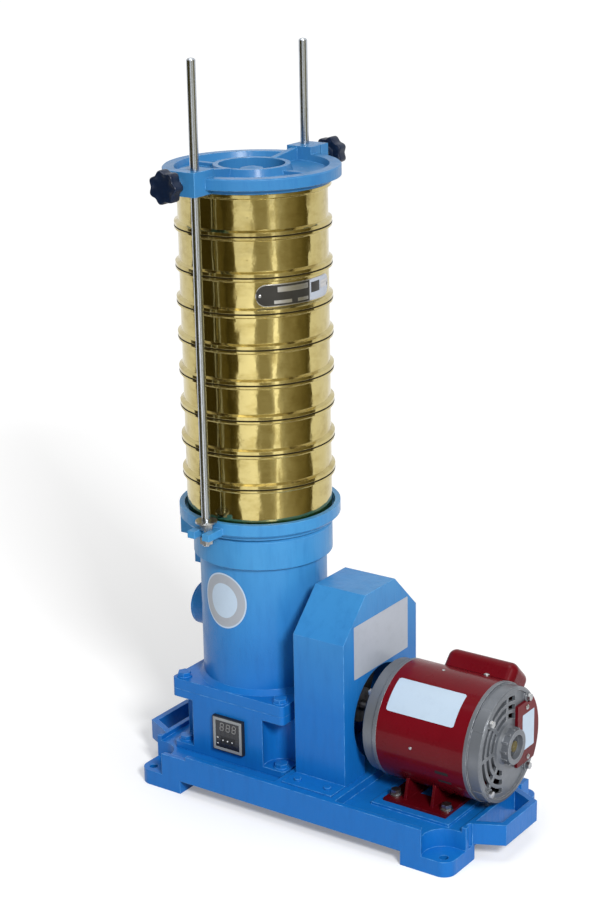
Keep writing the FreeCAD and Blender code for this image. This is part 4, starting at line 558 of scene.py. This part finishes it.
def on_upright(centre_x, radius, middle_degrees, middle_z):
    """Where a plate wrapped on an upright cylinder has its points."""
    def put(along, up, lift):
        angle = math.radians(middle_degrees) + along / radius
        return Vector((centre_x + (radius + lift) * math.cos(angle), (radius + lift) * math.sin(angle),
                       middle_z + up))
    return put


def out_of_motor(degrees):
    """The direction from the motor's axis at an angle round it, from the back over the top."""
    angle = math.radians(degrees)
    return Vector((0, math.cos(angle), math.sin(angle)))


def on_motor(middle_x, radius, middle_degrees):
    """Where a plate wrapped on the motor has its points: along is round it, up is along its axis."""
    def put(along, up, lift):
        out = out_of_motor(middle_degrees + math.degrees(along / radius))
        return Vector((middle_x + up, 0, MOTOR_AXIS_Z)) + (radius + lift) * out
    return put


def rounded_end(half_width, half_height, radius):
    """The half height of a round-cornered plate at a distance from its middle."""
    def tall(along):
        past = abs(along) - (half_width - radius)
        if past <= 0:
            return half_height
        return half_height - radius + math.sqrt(max(radius ** 2 - past ** 2, 1e-12))
    return tall


# Clamp knobs

KNOB_LOBES = 7
KNOB_RADIUS = 0.0228
KNOB_THICKNESS = 0.017
LOBE_DEPTH = 0.08
LOBE_STEPS = 14
# Shares of the radius, with depths below the face and heights over the back
KNOB_FACE = [(0.30, 0.0022), (0.62, 0.0020), (0.80, 0.0006), (0.93, 0.0), (0.985, 0.0012), (1.0, 0.0036)]
KNOB_BACK = [(1.0, 0.0036), (0.985, 0.0012), (0.93, 0.0), (0.55, 0.0)]
LOBED_FROM = 0.7
# The hub's radii, with heights over the knob's back
KNOB_HUB = [(0, 0.0010), (0.0105, 0.0010), (0.0085, -0.0015), (0.0077, -0.0062), (0, -0.0065)]
SCREW_PITCH = 0.00125
SCREW_ROOT = 0.0034
SCREW_CREST = 0.0039
SCREW_TIP = 0.0030
SCREW_START = 0.005
SCREW_CHAMFER = 0.0005


def star_ring(mesh, share, height, turn):
    """One ring of the knob: round near the middle and lobed further out."""
    ring = []
    steps = KNOB_LOBES * LOBE_STEPS
    for step in range(steps):
        lobe = math.cos(2 * math.pi * step / LOBE_STEPS)
        outline = 1 - LOBE_DEPTH + LOBE_DEPTH * lobe if share > LOBED_FROM else 1
        x, y = on_circle(step, steps, share * outline * KNOB_RADIUS)
        ring.append(mesh.verts.new(turn @ Vector((x, y, height))))
    return ring


def star_knob(node, body, side):
    """A seven-lobed hand knob with rounded lobes, a dished face and a hub."""
    low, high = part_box(node)
    outer_y = high.y if side > 0 else low.y
    middle = Vector(((low.x + high.x) / 2, outer_y, (low.z + high.z) / 2))
    turn = facing(middle, -side * ALONG, UP)
    layers = [(share, -depth) for share, depth in KNOB_FACE]
    layers += [(share, height - KNOB_THICKNESS) for share, height in KNOB_BACK]
    mesh = bmesh.new()
    rings = [star_ring(mesh, share, height, turn) for share, height in layers]
    join_rings(mesh, rings)
    mesh.faces.new(rings[0])
    mesh.faces.new(rings[-1][::-1])
    lathe(mesh, [(radius, height - KNOB_THICKNESS) for radius, height in KNOB_HUB], turn, 40)
    knob = finish_piece(node + "_star", mesh, body, ["knob"], 50)
    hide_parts(node)
    clamp_screw(node, body, turn, high.y - low.y)


def clamp_screw(node, body, turn, length):
    """The knob's threaded screw, from inside the hub to its tip."""
    start, end = -KNOB_THICKNESS - SCREW_START, -length
    profile = [(0, start)]
    for number in range(int((start - end) / SCREW_PITCH)):
        height = start - number * SCREW_PITCH
        profile += [(SCREW_ROOT, height), (SCREW_CREST, height - SCREW_PITCH / 2)]
    profile += [(SCREW_TIP, end + SCREW_CHAMFER), (0, end)]
    mesh = bmesh.new()
    lathe(mesh, profile, turn, 24)
    finish_piece(node + "_screw", mesh, body, ["zinc"], 60)


# Labels, all blank

FILM = 0.0002
FILM_GAP = 0.00005
COVER_FILM_GAP = 0.00003
STICKER_DEGREES = -93.4
STICKER_MIDDLE_Z = 0.2915
STICKER_NARROWING = 0.90
STICKER_STEPS = 72
# Radii of the sticker's rings from the middle out: two white, two grey, one white
STICKER_RINGS = [(0.0130, 0), (0.0255, 0), (0.0320, 1), (0.0385, 1), (0.0408, 0)]
RATING_DEGREES = 132.1
RATING_HALF_DEGREES = 17.6
RATING_HALF_LENGTH = 0.0525
RATING_CORNER = 0.003
RATING_BEHIND_MIDDLE = 0.0055


def column_sticker():
    """A round vinyl sticker on the column: a white middle in a grey band with a white rim."""
    put = on_upright(SPINDLE_X, COLUMN_RADIUS + FILM_GAP, STICKER_DEGREES, STICKER_MIDDLE_Z)
    mesh = bmesh.new()
    inner = [mesh.verts.new(put(0, 0, FILM))]
    for radius, material in STICKER_RINGS:
        outer = []
        for step in range(STICKER_STEPS):
            along, up = on_circle(step, STICKER_STEPS, radius)
            outer.append(mesh.verts.new(put(STICKER_NARROWING * along, up, FILM)))
        join_rings(mesh, [outer, inner], material)
        inner = outer
    finish_piece("column_sticker", mesh, "base", ["white", "grey"])


def flat_label(name, material, middle, width, height, corner):
    """A film on a face that looks along the motor's axis."""
    mesh = bmesh.new()
    slab(mesh, rounded_outline(width, height, corner), facing(middle, BACK, UP), FILM)
    finish_piece(name, mesh, "base", [material])


def guard_label():
    """A silver film on the guard's motor side."""
    face_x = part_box("belt_guard")[1].x
    flat_label("guard_label", "silver", middle=(face_x + FILM_GAP, 0.0015, 0.2490), width=0.136,
               height=0.077, corner=0.0015)


def terminal_label():
    """A white film on the terminal cover."""
    face_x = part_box("terminal_cover")[1].x
    flat_label("terminal_label", "white", middle=(face_x + COVER_FILM_GAP, 0.0500, 0.1440), width=0.032,
               height=0.053, corner=0.0012)


def rating_label():
    """A white film round the motor's upper front."""
    mesh = bmesh.new()
    half_arc = math.radians(RATING_HALF_DEGREES) * SHELL_RADIUS
    put = on_motor(SHELL_MIDDLE_X - RATING_BEHIND_MIDDLE, SHELL_RADIUS + FILM_GAP, RATING_DEGREES)
    wrapped(mesh, half_arc, rounded_end(half_arc, RATING_HALF_LENGTH, RATING_CORNER), put, FILM)
    finish_piece("rating_label", mesh, "base", ["white"])


PLATE_DEGREES = -16.5
PLATE_HALF_WIDTH = 0.0655
PLATE_HALF_HEIGHT = 0.0150
PLATE_CORNER = PLATE_HALF_HEIGHT - 0.0002
PLATE_OVER_SIEVE_FOOT = 0.0300
PLATE_BORDER = 0.0012
PLATE_LIFT = 0.0001
PLATE_FACE = PLATE_LIFT + 0.0004
PRINT = 0.0001
PLATE_INSIDE = PLATE_HALF_WIDTH - PLATE_BORDER
# More than the plate has, so that its border cuts the field off
PAST_BORDER = 1.0
PLATE_RIVET = [(0.0022, 0.0), (0.0021, 0.0006), (0.0013, 0.0010), (0, 0.0012)]
PLATE_RIVET_FROM_END = 0.006
# Plain fields on the plate: start, end, bottom, top, lift and material, 0 plate, 1 black, 2 silver
PLATE_FIELDS = [
    (-PLATE_INSIDE, 0.0142, -PAST_BORDER, PAST_BORDER, PLATE_FACE, 1),
    (0.0150, PLATE_INSIDE, -PAST_BORDER, PAST_BORDER, PLATE_FACE, 2),
    (-0.0356, 0.0117, 0.0040, 0.0110, PLATE_FACE + PRINT, 0),
    (-0.0406, -0.0151, -0.0115, -0.0070, PLATE_FACE + PRINT, 0),
    (-0.0060, 0.0117, -0.0115, -0.0070, PLATE_FACE + PRINT, 0),
    (0.0175, 0.0360, -0.0040, 0.0100, PLATE_FACE + PRINT, 1),
    (0.0385, 0.0600, -0.0020, 0.0080, PLATE_FACE + PRINT, 0),
]


def plate_field(mesh, start, end, bottom, top, lift, material, outline, plate_z):
    """A field from one arc length to another and one height to another, cut off at the plate's border."""
    middle, height = (start + end) / 2, (bottom + top) / 2
    degrees = PLATE_DEGREES + math.degrees(middle / SIEVE_RADIUS)

    def half_height(along):
        return min((top - bottom) / 2, outline(middle + along) - abs(height) - PLATE_BORDER)

    wrapped(mesh, (end - start) / 2, half_height,
            on_upright(TABLE_X, SIEVE_RADIUS + lift, degrees, plate_z + height), PRINT, 30, material=material)


def sieve_plate():
    """A riveted plate round the upper sieve: a bright border and plain fields with nothing in them."""
    plate_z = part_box("sieve_6")[0].z + PLATE_OVER_SIEVE_FOOT
    outline = rounded_end(PLATE_HALF_WIDTH, PLATE_HALF_HEIGHT, PLATE_CORNER)
    put = on_upright(TABLE_X, SIEVE_RADIUS + PLATE_LIFT, PLATE_DEGREES, plate_z)
    mesh = bmesh.new()
    wrapped(mesh, PLATE_HALF_WIDTH, outline, put, PLATE_FACE - PLATE_LIFT, 60)
    for field in PLATE_FIELDS:
        plate_field(mesh, *field, outline, plate_z)
    finish_piece("sieve_plate", mesh, "sieve_6", ["plate", "black", "silver"])
    for number, side in enumerate((-1, 1), start=1):
        rivet = bmesh.new()
        place = put(side * (PLATE_HALF_WIDTH - PLATE_RIVET_FROM_END), 0.0, PLATE_FACE)
        out = Vector((place.x - TABLE_X, place.y, 0)).normalized()
        lathe(rivet, PLATE_RIVET, facing(place, UP.cross(out), UP), 20)
        finish_piece(f"sieve_plate_rivet_{number}", rivet, "sieve_6", ["zinc"])


# A seam's painted shadow ring: distances past the frame's radius, with heights over its rim
SEAM = [(-0.0010, -0.0022), (0.0001, -0.0018), (0.0001, 0.0001), (-0.0010, 0.0002)]


def seam_lines():
    """A dark ring painted as the shadow under each joint of the stack."""
    bodies = {"receiver_pan": "receiver"}
    bodies.update({f"sieve_{number}": f"sieve_{number}" for number in range(1, 8)})
    for node, body in bodies.items():
        low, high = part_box(node)
        radius = (high.x - low.x) / 2
        place = Matrix.Translation(Vector(((low.x + high.x) / 2, (low.y + high.y) / 2, high.z)))
        mesh = bmesh.new()
        lathe(mesh, [(radius + past, height) for past, height in SEAM], place, 96)
        finish_piece(f"{node}_seam", mesh, body, ["seam"])


# Panel timer

FRAME_OUTER = 0.0495
FRAME_INNER = 0.0410
FRAME_THICKNESS = 0.0004
FRAME_GAP = 0.00002
FACE_REACH = FRAME_INNER / 2 + 0.0002
FACE_SHEET = 0.00008
STRIP_MIDDLE = (0.0006, -0.0081)
STRIP_SIZE = (0.0257, 0.0104)
KEY_GAP = 0.0002
DIGIT_WIDTH = 0.0056
DIGIT_HEIGHT = 0.0108
DIGIT_STROKE = 0.0012
DIGIT_LEAN = 0.12
DIGIT_PRINT = 0.00012
FIRST_DIGIT = (-0.0095, 0.0115)
DIGIT_PITCH = 0.0105
SEGMENT_GAP = 0.0002
KEY_DOT = [(0.0012, 0.0), (0.0011, 0.00010), (0, 0.00015)]
MARK_SIZE = (0.0030, 0.0014, 0.0005)
MARK_PLACES = [(-0.0174, -0.0062), (-0.0174, -0.0152)]


def timer_details():
    """The timer's grey frame, its face, dim digits, indicator marks and the dots on its keys."""
    front_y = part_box("timer_bezel")[0].y
    middle = middle_of("timer_bezel")
    turn = facing((middle.x, front_y - FRAME_GAP, middle.z), ALONG, UP)
    on_face = turn @ Matrix.Translation((0, 0, FACE_SHEET))
    timer_frame(turn)
    timer_face(turn, middle)
    digits = bmesh.new()
    for number in range(3):
        place = (FIRST_DIGIT[0] + DIGIT_PITCH * number, FIRST_DIGIT[1], 0)
        digit(digits, on_face @ Matrix.Translation(place))
    finish_piece("timer_digits", digits, "base", ["digit"])
    marks = bmesh.new()
    for x, y in MARK_PLACES:
        slab(marks, rounded_outline(*MARK_SIZE), on_face @ Matrix.Translation((x, y, 0)), FACE_SHEET)
    finish_piece("timer_marks", marks, "base", ["mark"])
    for number in range(1, 4):
        key_low, key_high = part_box(f"timer_key_{number}")
        place = ((key_low.x + key_high.x) / 2, key_low.y, (key_low.z + key_high.z) / 2)
        dot = bmesh.new()
        lathe(dot, KEY_DOT, facing(place, ALONG, UP), 20)
        finish_piece(f"timer_key_dot_{number}", dot, f"key_{number}", ["mark"])


def timer_frame(turn):
    """Four mitred strips round the face."""
    outer, inner = FRAME_OUTER / 2, FRAME_INNER / 2
    strip = [(-outer, -outer), (outer, -outer), (inner, -inner), (-inner, -inner)]
    mesh = bmesh.new()
    for number in range(4):
        slab(mesh, strip, turn @ Matrix.Rotation(math.radians(90 * number), 4, "Z"), FRAME_THICKNESS)
    finish_piece("timer_frame", mesh, "base", ["grey_frame"], bevel=0.0002)


def timer_face(turn, middle):
    """The dark face in tiles, left open round the three keys, with a black strip behind them."""
    openings = []
    for number in (1, 2, 3):
        low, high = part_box(f"timer_key_{number}")
        openings.append((low.x - KEY_GAP - middle.x, high.x + KEY_GAP - middle.x,
                         low.z - KEY_GAP - middle.z, high.z + KEY_GAP - middle.z))
    strip = (STRIP_MIDDLE[0] - STRIP_SIZE[0] / 2, STRIP_MIDDLE[0] + STRIP_SIZE[0] / 2,
             STRIP_MIDDLE[1] - STRIP_SIZE[1] / 2, STRIP_MIDDLE[1] + STRIP_SIZE[1] / 2)

    def inside(x, y, field):
        return field[0] < x < field[1] and field[2] < y < field[3]

    key_edges = [edge for field in openings for edge in field[:2]]
    across = sorted([-FACE_REACH, FACE_REACH, *strip[:2], *key_edges])
    up = sorted([-FACE_REACH, FACE_REACH, *strip[2:], *openings[0][2:]])
    mesh = bmesh.new()
    for left, right in zip(across, across[1:]):
        for bottom, top in zip(up, up[1:]):
            x, y = (left + right) / 2, (bottom + top) / 2
            if any(inside(x, y, field) for field in openings):
                continue
            slab(mesh, [(left, bottom), (right, bottom), (right, top), (left, top)], turn, FACE_SHEET,
                 1 if inside(x, y, strip) else 0)
    finish_piece("timer_face", mesh, "base", ["face", "key"])


def digit(mesh, turn):
    """The seven segments of one figure, leaning a little to the right."""
    half = DIGIT_STROKE / 2

    def segment(middle_x, middle_y, length, upright):
        end = length / 2 - SEGMENT_GAP
        flat = [(-end, 0), (-end + half, half), (end - half, half), (end, 0), (end - half, -half),
                (-end + half, -half)]
        outline = [(middle_x - y, middle_y + x) if upright else (middle_x + x, middle_y + y) for x, y in flat]
        slab(mesh, [(x + DIGIT_LEAN * y, y) for x, y in outline], turn, DIGIT_PRINT)

    for level in (-1, 0, 1):
        segment(0, level * DIGIT_HEIGHT / 2, DIGIT_WIDTH, False)
    for side in (-1, 1):
        for level in (-1, 1):
            segment(side * DIGIT_WIDTH / 2, level * DIGIT_HEIGHT / 4, DIGIT_HEIGHT / 2, True)


# Motor details

HEAD_RINGS = 7
HEAD_STEPS = 32
HEAD_ROUNDNESS = 0.93
SLOT_SHARE = 0.16
SLOT_FLOOR_SHARE = 0.35
TERMINAL_SCREWS = [(0.0463, 0.1790), (0.0500, 0.1040)]
TERMINAL_SCREW_HEAD = (0.0036, 0.0022)
COVER_SCREW_HEAD = (0.0042, 0.0032)
COVER_SCREW_DEGREES = 66
COVER_SCREW_PAST_MIDDLE = 0.0369
BELL_PAD_HALF_ARC = 0.0165
BELL_PAD_HALF_LENGTH = 0.0083
BELL_PAD_MIDDLE = 0.0141
BELL_PAD_CORNER = 0.0010
BELL_PAD_DEPTH = 0.0002
BELL_PAD_THICKNESS = 0.0011
BELL_BOLT_DEGREES = (45, 135, 225, 315)
# Half width, place past the shell's middle and angle of each cooling slit
SHELL_SLITS = [(0.0026, 0.0335, 197.5), (0.0022, 0.0355, 208.5)]
SLIT_HALF_LENGTH = 0.0100
SLIT_CORNER = 0.0008
SLIT_SHEET = 0.00012
SHELL_RIVET = [(0.0024, 0.0), (0.0022, 0.0007), (0.0012, 0.0011), (0, 0.0009)]
SHELL_RIVET_DEPTH = 0.0001
SHELL_RIVET_DEGREES = (87.7, 179.0, 359.0)
SHELL_RIVET_BEHIND_MIDDLE = 0.0125
SHAFT_END = [(0.0079, 0.0), (0.0074, 0.0005), (0.0024, 0.0005), (0, -0.0001)]


def pan_head(mesh, turn, radius, height):
    """A domed screw head with a slot across it."""
    slot_half, slot_floor = radius * SLOT_SHARE, height * SLOT_FLOOR_SHARE
    rings = [[mesh.verts.new(turn @ Vector((0, 0, slot_floor)))]]
    for number in range(1, HEAD_RINGS + 1):
        share = number / HEAD_RINGS
        dome = height * math.sqrt(1 - (share * HEAD_ROUNDNESS) ** 2)
        ring = []
        for step in range(HEAD_STEPS):
            x, y = on_circle(step, HEAD_STEPS, share * radius)
            level = min(dome, slot_floor) if abs(y) < slot_half else dome
            ring.append(mesh.verts.new(turn @ Vector((x, y, level))))
        rings.append(ring)
    rings.append([mesh.verts.new(turn @ Vector((*on_circle(step, HEAD_STEPS, radius), 0)))
                  for step in range(HEAD_STEPS)])
    join_rings(mesh, rings[::-1])


def motor_screws():
    """Slotted screws on the terminal cover and on the capacitor's cover."""
    cover_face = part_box("terminal_cover")[1].x
    for number, (y, z) in enumerate(TERMINAL_SCREWS, start=1):
        mesh = bmesh.new()
        slot_way = Vector((0, math.cos(number), math.sin(number)))
        turn = facing((cover_face, y, z), slot_way, ALONG.cross(slot_way))
        pan_head(mesh, turn, *TERMINAL_SCREW_HEAD)
        finish_piece(f"terminal_screw_{number}", mesh, "base", ["zinc"])
    out = out_of_motor(COVER_SCREW_DEGREES)
    place = Vector((SHELL_MIDDLE_X + COVER_SCREW_PAST_MIDDLE, 0, MOTOR_AXIS_Z)) + out * SHELL_RADIUS
    mesh = bmesh.new()
    pan_head(mesh, facing(place, ALONG, out.cross(ALONG)), *COVER_SCREW_HEAD)
    finish_piece("capacitor_cover_screw", mesh, "base", ["zinc"])


def shaft_end():
    """The end face of the motor's shaft, deep in the bell's hub, with its turning centre, its brass darkened
    as painted shade of the hub.
    """
    end_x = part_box("motor_shaft")[1].x
    mesh = bmesh.new()
    lathe(mesh, SHAFT_END, facing((end_x, 0, MOTOR_AXIS_Z), BACK, UP), 40)
    finish_piece("motor_shaft_end", mesh, "rotor", ["brass_in_painted_shade"])


def bell_pads():
    """The raised pads on the outer bell's side, one at each long bolt."""
    pad_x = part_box("motor_outer_bell")[0].x + BELL_PAD_MIDDLE
    outline = rounded_end(BELL_PAD_HALF_ARC, BELL_PAD_HALF_LENGTH, BELL_PAD_CORNER)
    pads = bmesh.new()
    for degrees in BELL_BOLT_DEGREES:
        put = on_motor(pad_x, BELL_RADIUS - BELL_PAD_DEPTH, degrees)
        wrapped(pads, BELL_PAD_HALF_ARC, outline, put, BELL_PAD_THICKNESS, 16, 4)
    finish_piece("motor_bell_pads", pads, "base", ["bell"], bevel=0.0004)


def shell_marks():
    """The cooling slits, as dark films painted as the shade inside them, and the rivets that show on the
    motor's shell.
    """
    slits = bmesh.new()
    for half_width, past_middle, degrees in SHELL_SLITS:
        wrapped(slits, half_width, rounded_end(half_width, SLIT_HALF_LENGTH, SLIT_CORNER),
                on_motor(SHELL_MIDDLE_X + past_middle, SHELL_RADIUS, degrees), SLIT_SHEET, 6, 8)
    finish_piece("shell_slits", slits, "base", ["dark"])
    rivets = bmesh.new()
    axis_place = Vector((SHELL_MIDDLE_X - SHELL_RIVET_BEHIND_MIDDLE, 0, MOTOR_AXIS_Z))
    for degrees in SHELL_RIVET_DEGREES:
        out = out_of_motor(degrees)
        place = axis_place + out * (SHELL_RADIUS - SHELL_RIVET_DEPTH)
        lathe(rivets, SHELL_RIVET, facing(place, ALONG, out.cross(ALONG)), 24)
    finish_piece("shell_rivets", rivets, "base", ["zinc"])


# Flange washers

BOLT_REACH = 0.084
BOLT_HEAD_HEIGHT = 0.007
WASHER_RADIUS = 0.0110
WASHER_THICKNESS = 0.0020
WASHER_BEVEL = 0.0005
WASHER_BORE = 0.0070


def bolt_washers():
    """Round washers under the heads of the bolts of both flanges, painted over with them."""
    profile = [(WASHER_BORE, WASHER_THICKNESS), (WASHER_RADIUS - WASHER_BEVEL, WASHER_THICKNESS),
               (WASHER_RADIUS, WASHER_THICKNESS - WASHER_BEVEL), (WASHER_RADIUS, 0.0)]
    for node in ("housing_bolts", "column_bolts"):
        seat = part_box(node)[1].z - BOLT_HEAD_HEIGHT
        for number, (side_x, side_y) in enumerate([(-1, -1), (-1, 1), (1, -1), (1, 1)], start=1):
            place = Vector((SPINDLE_X + side_x * BOLT_REACH, side_y * BOLT_REACH, seat))
            mesh = bmesh.new()
            lathe(mesh, profile, Matrix.Translation(place), 40)
            finish_piece(f"{node}_washer_{number}", mesh, "base", ["cast_blue"])


# Light, floor and camera

CAMERA_PLACE = (1.4648, -2.1633, 1.3453)
CAMERA_TARGET = (-0.0623, 0.0, 0.4987)
CAMERA_ROLL = -1.06
CAMERA_LENS = 81.03
SENSOR_HEIGHT = 36.0
WORLD_STRENGTH = 0.40
FLOOR_REACH = 12.0
FLOOR_COLOUR = (0.80, 0.80, 0.80, 1)
# The floor's own glow: distances from the middle and the glow there, in two rises
NEAR_GLOW = ((0.0, 2.0), (0.19, 0.52))
FAR_GLOW = ((2.0, 7.0), (0.0, 0.20))
# Place, target, size and power of each lamp
LAMPS = {
    "key": ((2.6, -2.0, 2.4), (-0.05, 0.0, 0.35), 0.7, 128),
    "top": ((-0.3, -0.2, 4.6), (-0.1, 0.0, 0.4), 2.4, 48),
}
FLAG_DISTANCE = 1.0
FLAG_HEIGHT = 2.2
FLAG_STEP = 4.0
FLAG_YELLOW = (1.00, 0.78, 0.15)
FLAG_WHITE = (1.00, 0.96, 0.80)
FLAG_WHITE_LIGHT = 0.6
# Angles from the camera's side, in degrees, each with a card's light there
FLAGS = {
    "flag_left": [(-104, 0.07), (-60, 0.05), (-54, 0.14), (-46, 0.12), (-42, 0.06), (-30, 0.12), (-27, 0.60)],
    "flag_middle": [(-2, 0.80), (1, 0.46), (18, 0.46), (25, 0.90)],
    "flag_right": [(31, 0.90), (40, 0.50), (60, 0.30), (84, 0.11), (88, 0.20)],
}


def camera_sees(tree):
    """1 for rays from the camera, from a mirror-like surface or through glass, and 0 for the rest."""
    path = add(tree, "ShaderNodeLightPath").outputs
    seen = combine(tree, "MAXIMUM", path["Is Camera Ray"], path["Is Glossy Ray"])
    return combine(tree, "MAXIMUM", seen, path["Is Transmission Ray"])


def make_world():
    """Even white light, and a white ground behind everything."""
    world = bpy.data.worlds.new("studio")
    bpy.context.scene.world = world
    world.use_nodes = True
    tree = world.node_tree
    tree.nodes.clear()
    strength = spread(tree, camera_sees(tree), (0.0, 1.0), (WORLD_STRENGTH, 1.0))
    ground = add(tree, "ShaderNodeBackground", {"Color": (1, 1, 1, 1), "Strength": strength})
    add(tree, "ShaderNodeOutputWorld", {"Surface": ground.outputs[0]})


def make_floor():
    """A white floor that keeps the object's shadow and can be looked through from below."""
    material, tree, shader = new_material("white_floor")
    tree.nodes.remove(shader)
    matt = add(tree, "ShaderNodeBsdfDiffuse", {"Color": FLOOR_COLOUR}).outputs[0]
    place = place_on_piece(tree)
    distance = add(tree, "ShaderNodeVectorMath", {0: place}, operation="LENGTH").outputs["Value"]
    strength = combine(tree, "ADD", spread(tree, distance, *NEAR_GLOW), spread(tree, distance, *FAR_GLOW))
    strength = combine(tree, "MULTIPLY", camera_sees(tree), strength)
    glow = add(tree, "ShaderNodeEmission", {"Strength": strength}).outputs[0]
    both = add(tree, "ShaderNodeAddShader", {0: matt, 1: glow}).outputs[0]
    clear = add(tree, "ShaderNodeBsdfTransparent").outputs[0]
    underside = add(tree, "ShaderNodeNewGeometry").outputs["Backfacing"]
    floor_shader = add(tree, "ShaderNodeMixShader", {0: underside, 1: both, 2: clear}).outputs[0]
    tree.links.new(floor_shader, tree.nodes["Material Output"].inputs["Surface"])
    mesh = bmesh.new()
    bmesh.ops.create_grid(mesh, x_segments=1, y_segments=1, size=FLOOR_REACH)
    object_from("floor", mesh, [material])


def flag_material(name):
    """A warm glow that follows the card's light, yellower where it is dim."""
    material, tree, shader = new_material(name)
    tree.nodes.remove(shader)
    share = add(tree, "ShaderNodeAttribute", attribute_name="light").outputs["Fac"]
    warm = blend_colours(tree, spread(tree, share, (0.0, FLAG_WHITE_LIGHT)), FLAG_YELLOW, FLAG_WHITE)
    glow = add(tree, "ShaderNodeEmission", {"Color": warm, "Strength": share}).outputs[0]
    tree.links.new(glow, tree.nodes["Material Output"].inputs["Surface"])
    return material


def make_flag(name, stops):
    """A warm curved card beside the object that only shows in shiny surfaces."""
    mesh = bmesh.new()
    light = mesh.verts.layers.float.new("light")
    towards = math.atan2(CAMERA_PLACE[1], CAMERA_PLACE[0] - TABLE_X)
    columns = []
    for (start, start_light), (end, end_light) in zip(stops, stops[1:]):
        steps = math.ceil((end - start) / FLAG_STEP)
        for step in range(steps + 1):
            angle = towards + math.radians(start + (end - start) * step / steps)
            x, y = TABLE_X + FLAG_DISTANCE * math.cos(angle), FLAG_DISTANCE * math.sin(angle)
            column = [mesh.verts.new((x, y, height)) for height in (0.0, FLAG_HEIGHT)]
            for corner in column:
                corner[light] = start_light + (end_light - start_light) * step / steps
            columns.append(column)
    for first, second in zip(columns, columns[1:]):
        mesh.faces.new([first[0], second[0], second[1], first[1]])
    bmesh.ops.remove_doubles(mesh, verts=mesh.verts, dist=1e-6)
    card = object_from(name, mesh, [flag_material(name)])
    card.visible_camera = False
    card.visible_diffuse = False
    card.visible_shadow = False
    card.visible_transmission = False


def look_at(thing, place, target, roll=0.0):
    """Put a lamp or camera at a place, pointed at a target and rolled by some degrees."""
    thing.location = place
    thing.rotation_mode = "QUATERNION"
    look = (Vector(target) - Vector(place)).to_track_quat("-Z", "Y")
    thing.rotation_quaternion = look @ Quaternion((0, 0, 1), math.radians(roll))


def soft_lamp(name, place, target, size, power):
    """A square lamp pointed at a target."""
    lamp = bpy.data.lights.new(name, "AREA")
    lamp.size = size
    lamp.energy = power
    look_at(add_to_scene(name, lamp), place, target)


def make_camera():
    """The camera at the photo's place."""
    lens = bpy.data.cameras.new("camera")
    lens.sensor_fit = "VERTICAL"
    lens.sensor_height = SENSOR_HEIGHT
    lens.lens = CAMERA_LENS
    camera = add_to_scene("camera", lens)
    look_at(camera, CAMERA_PLACE, CAMERA_TARGET, CAMERA_ROLL)
    bpy.context.scene.camera = camera


def make_studio():
    """World, floor, lamps, cards and camera."""
    make_world()
    make_floor()
    for name, settings in LAMPS.items():
        soft_lamp(name, *settings)
    for name, stops in FLAGS.items():
        make_flag(name, stops)
    make_camera()


# The whole scene

bpy.context.scene.view_settings.view_transform = "Standard"
paint_packed_nodes()
star_knob("front_clamp_knob", "front_knob", -1)
star_knob("back_clamp_knob", "back_knob", 1)
column_sticker()
guard_label()
rating_label()
terminal_label()
sieve_plate()
seam_lines()
timer_details()
motor_screws()
shaft_end()
bolt_washers()
bell_pads()
shell_marks()
make_studio()
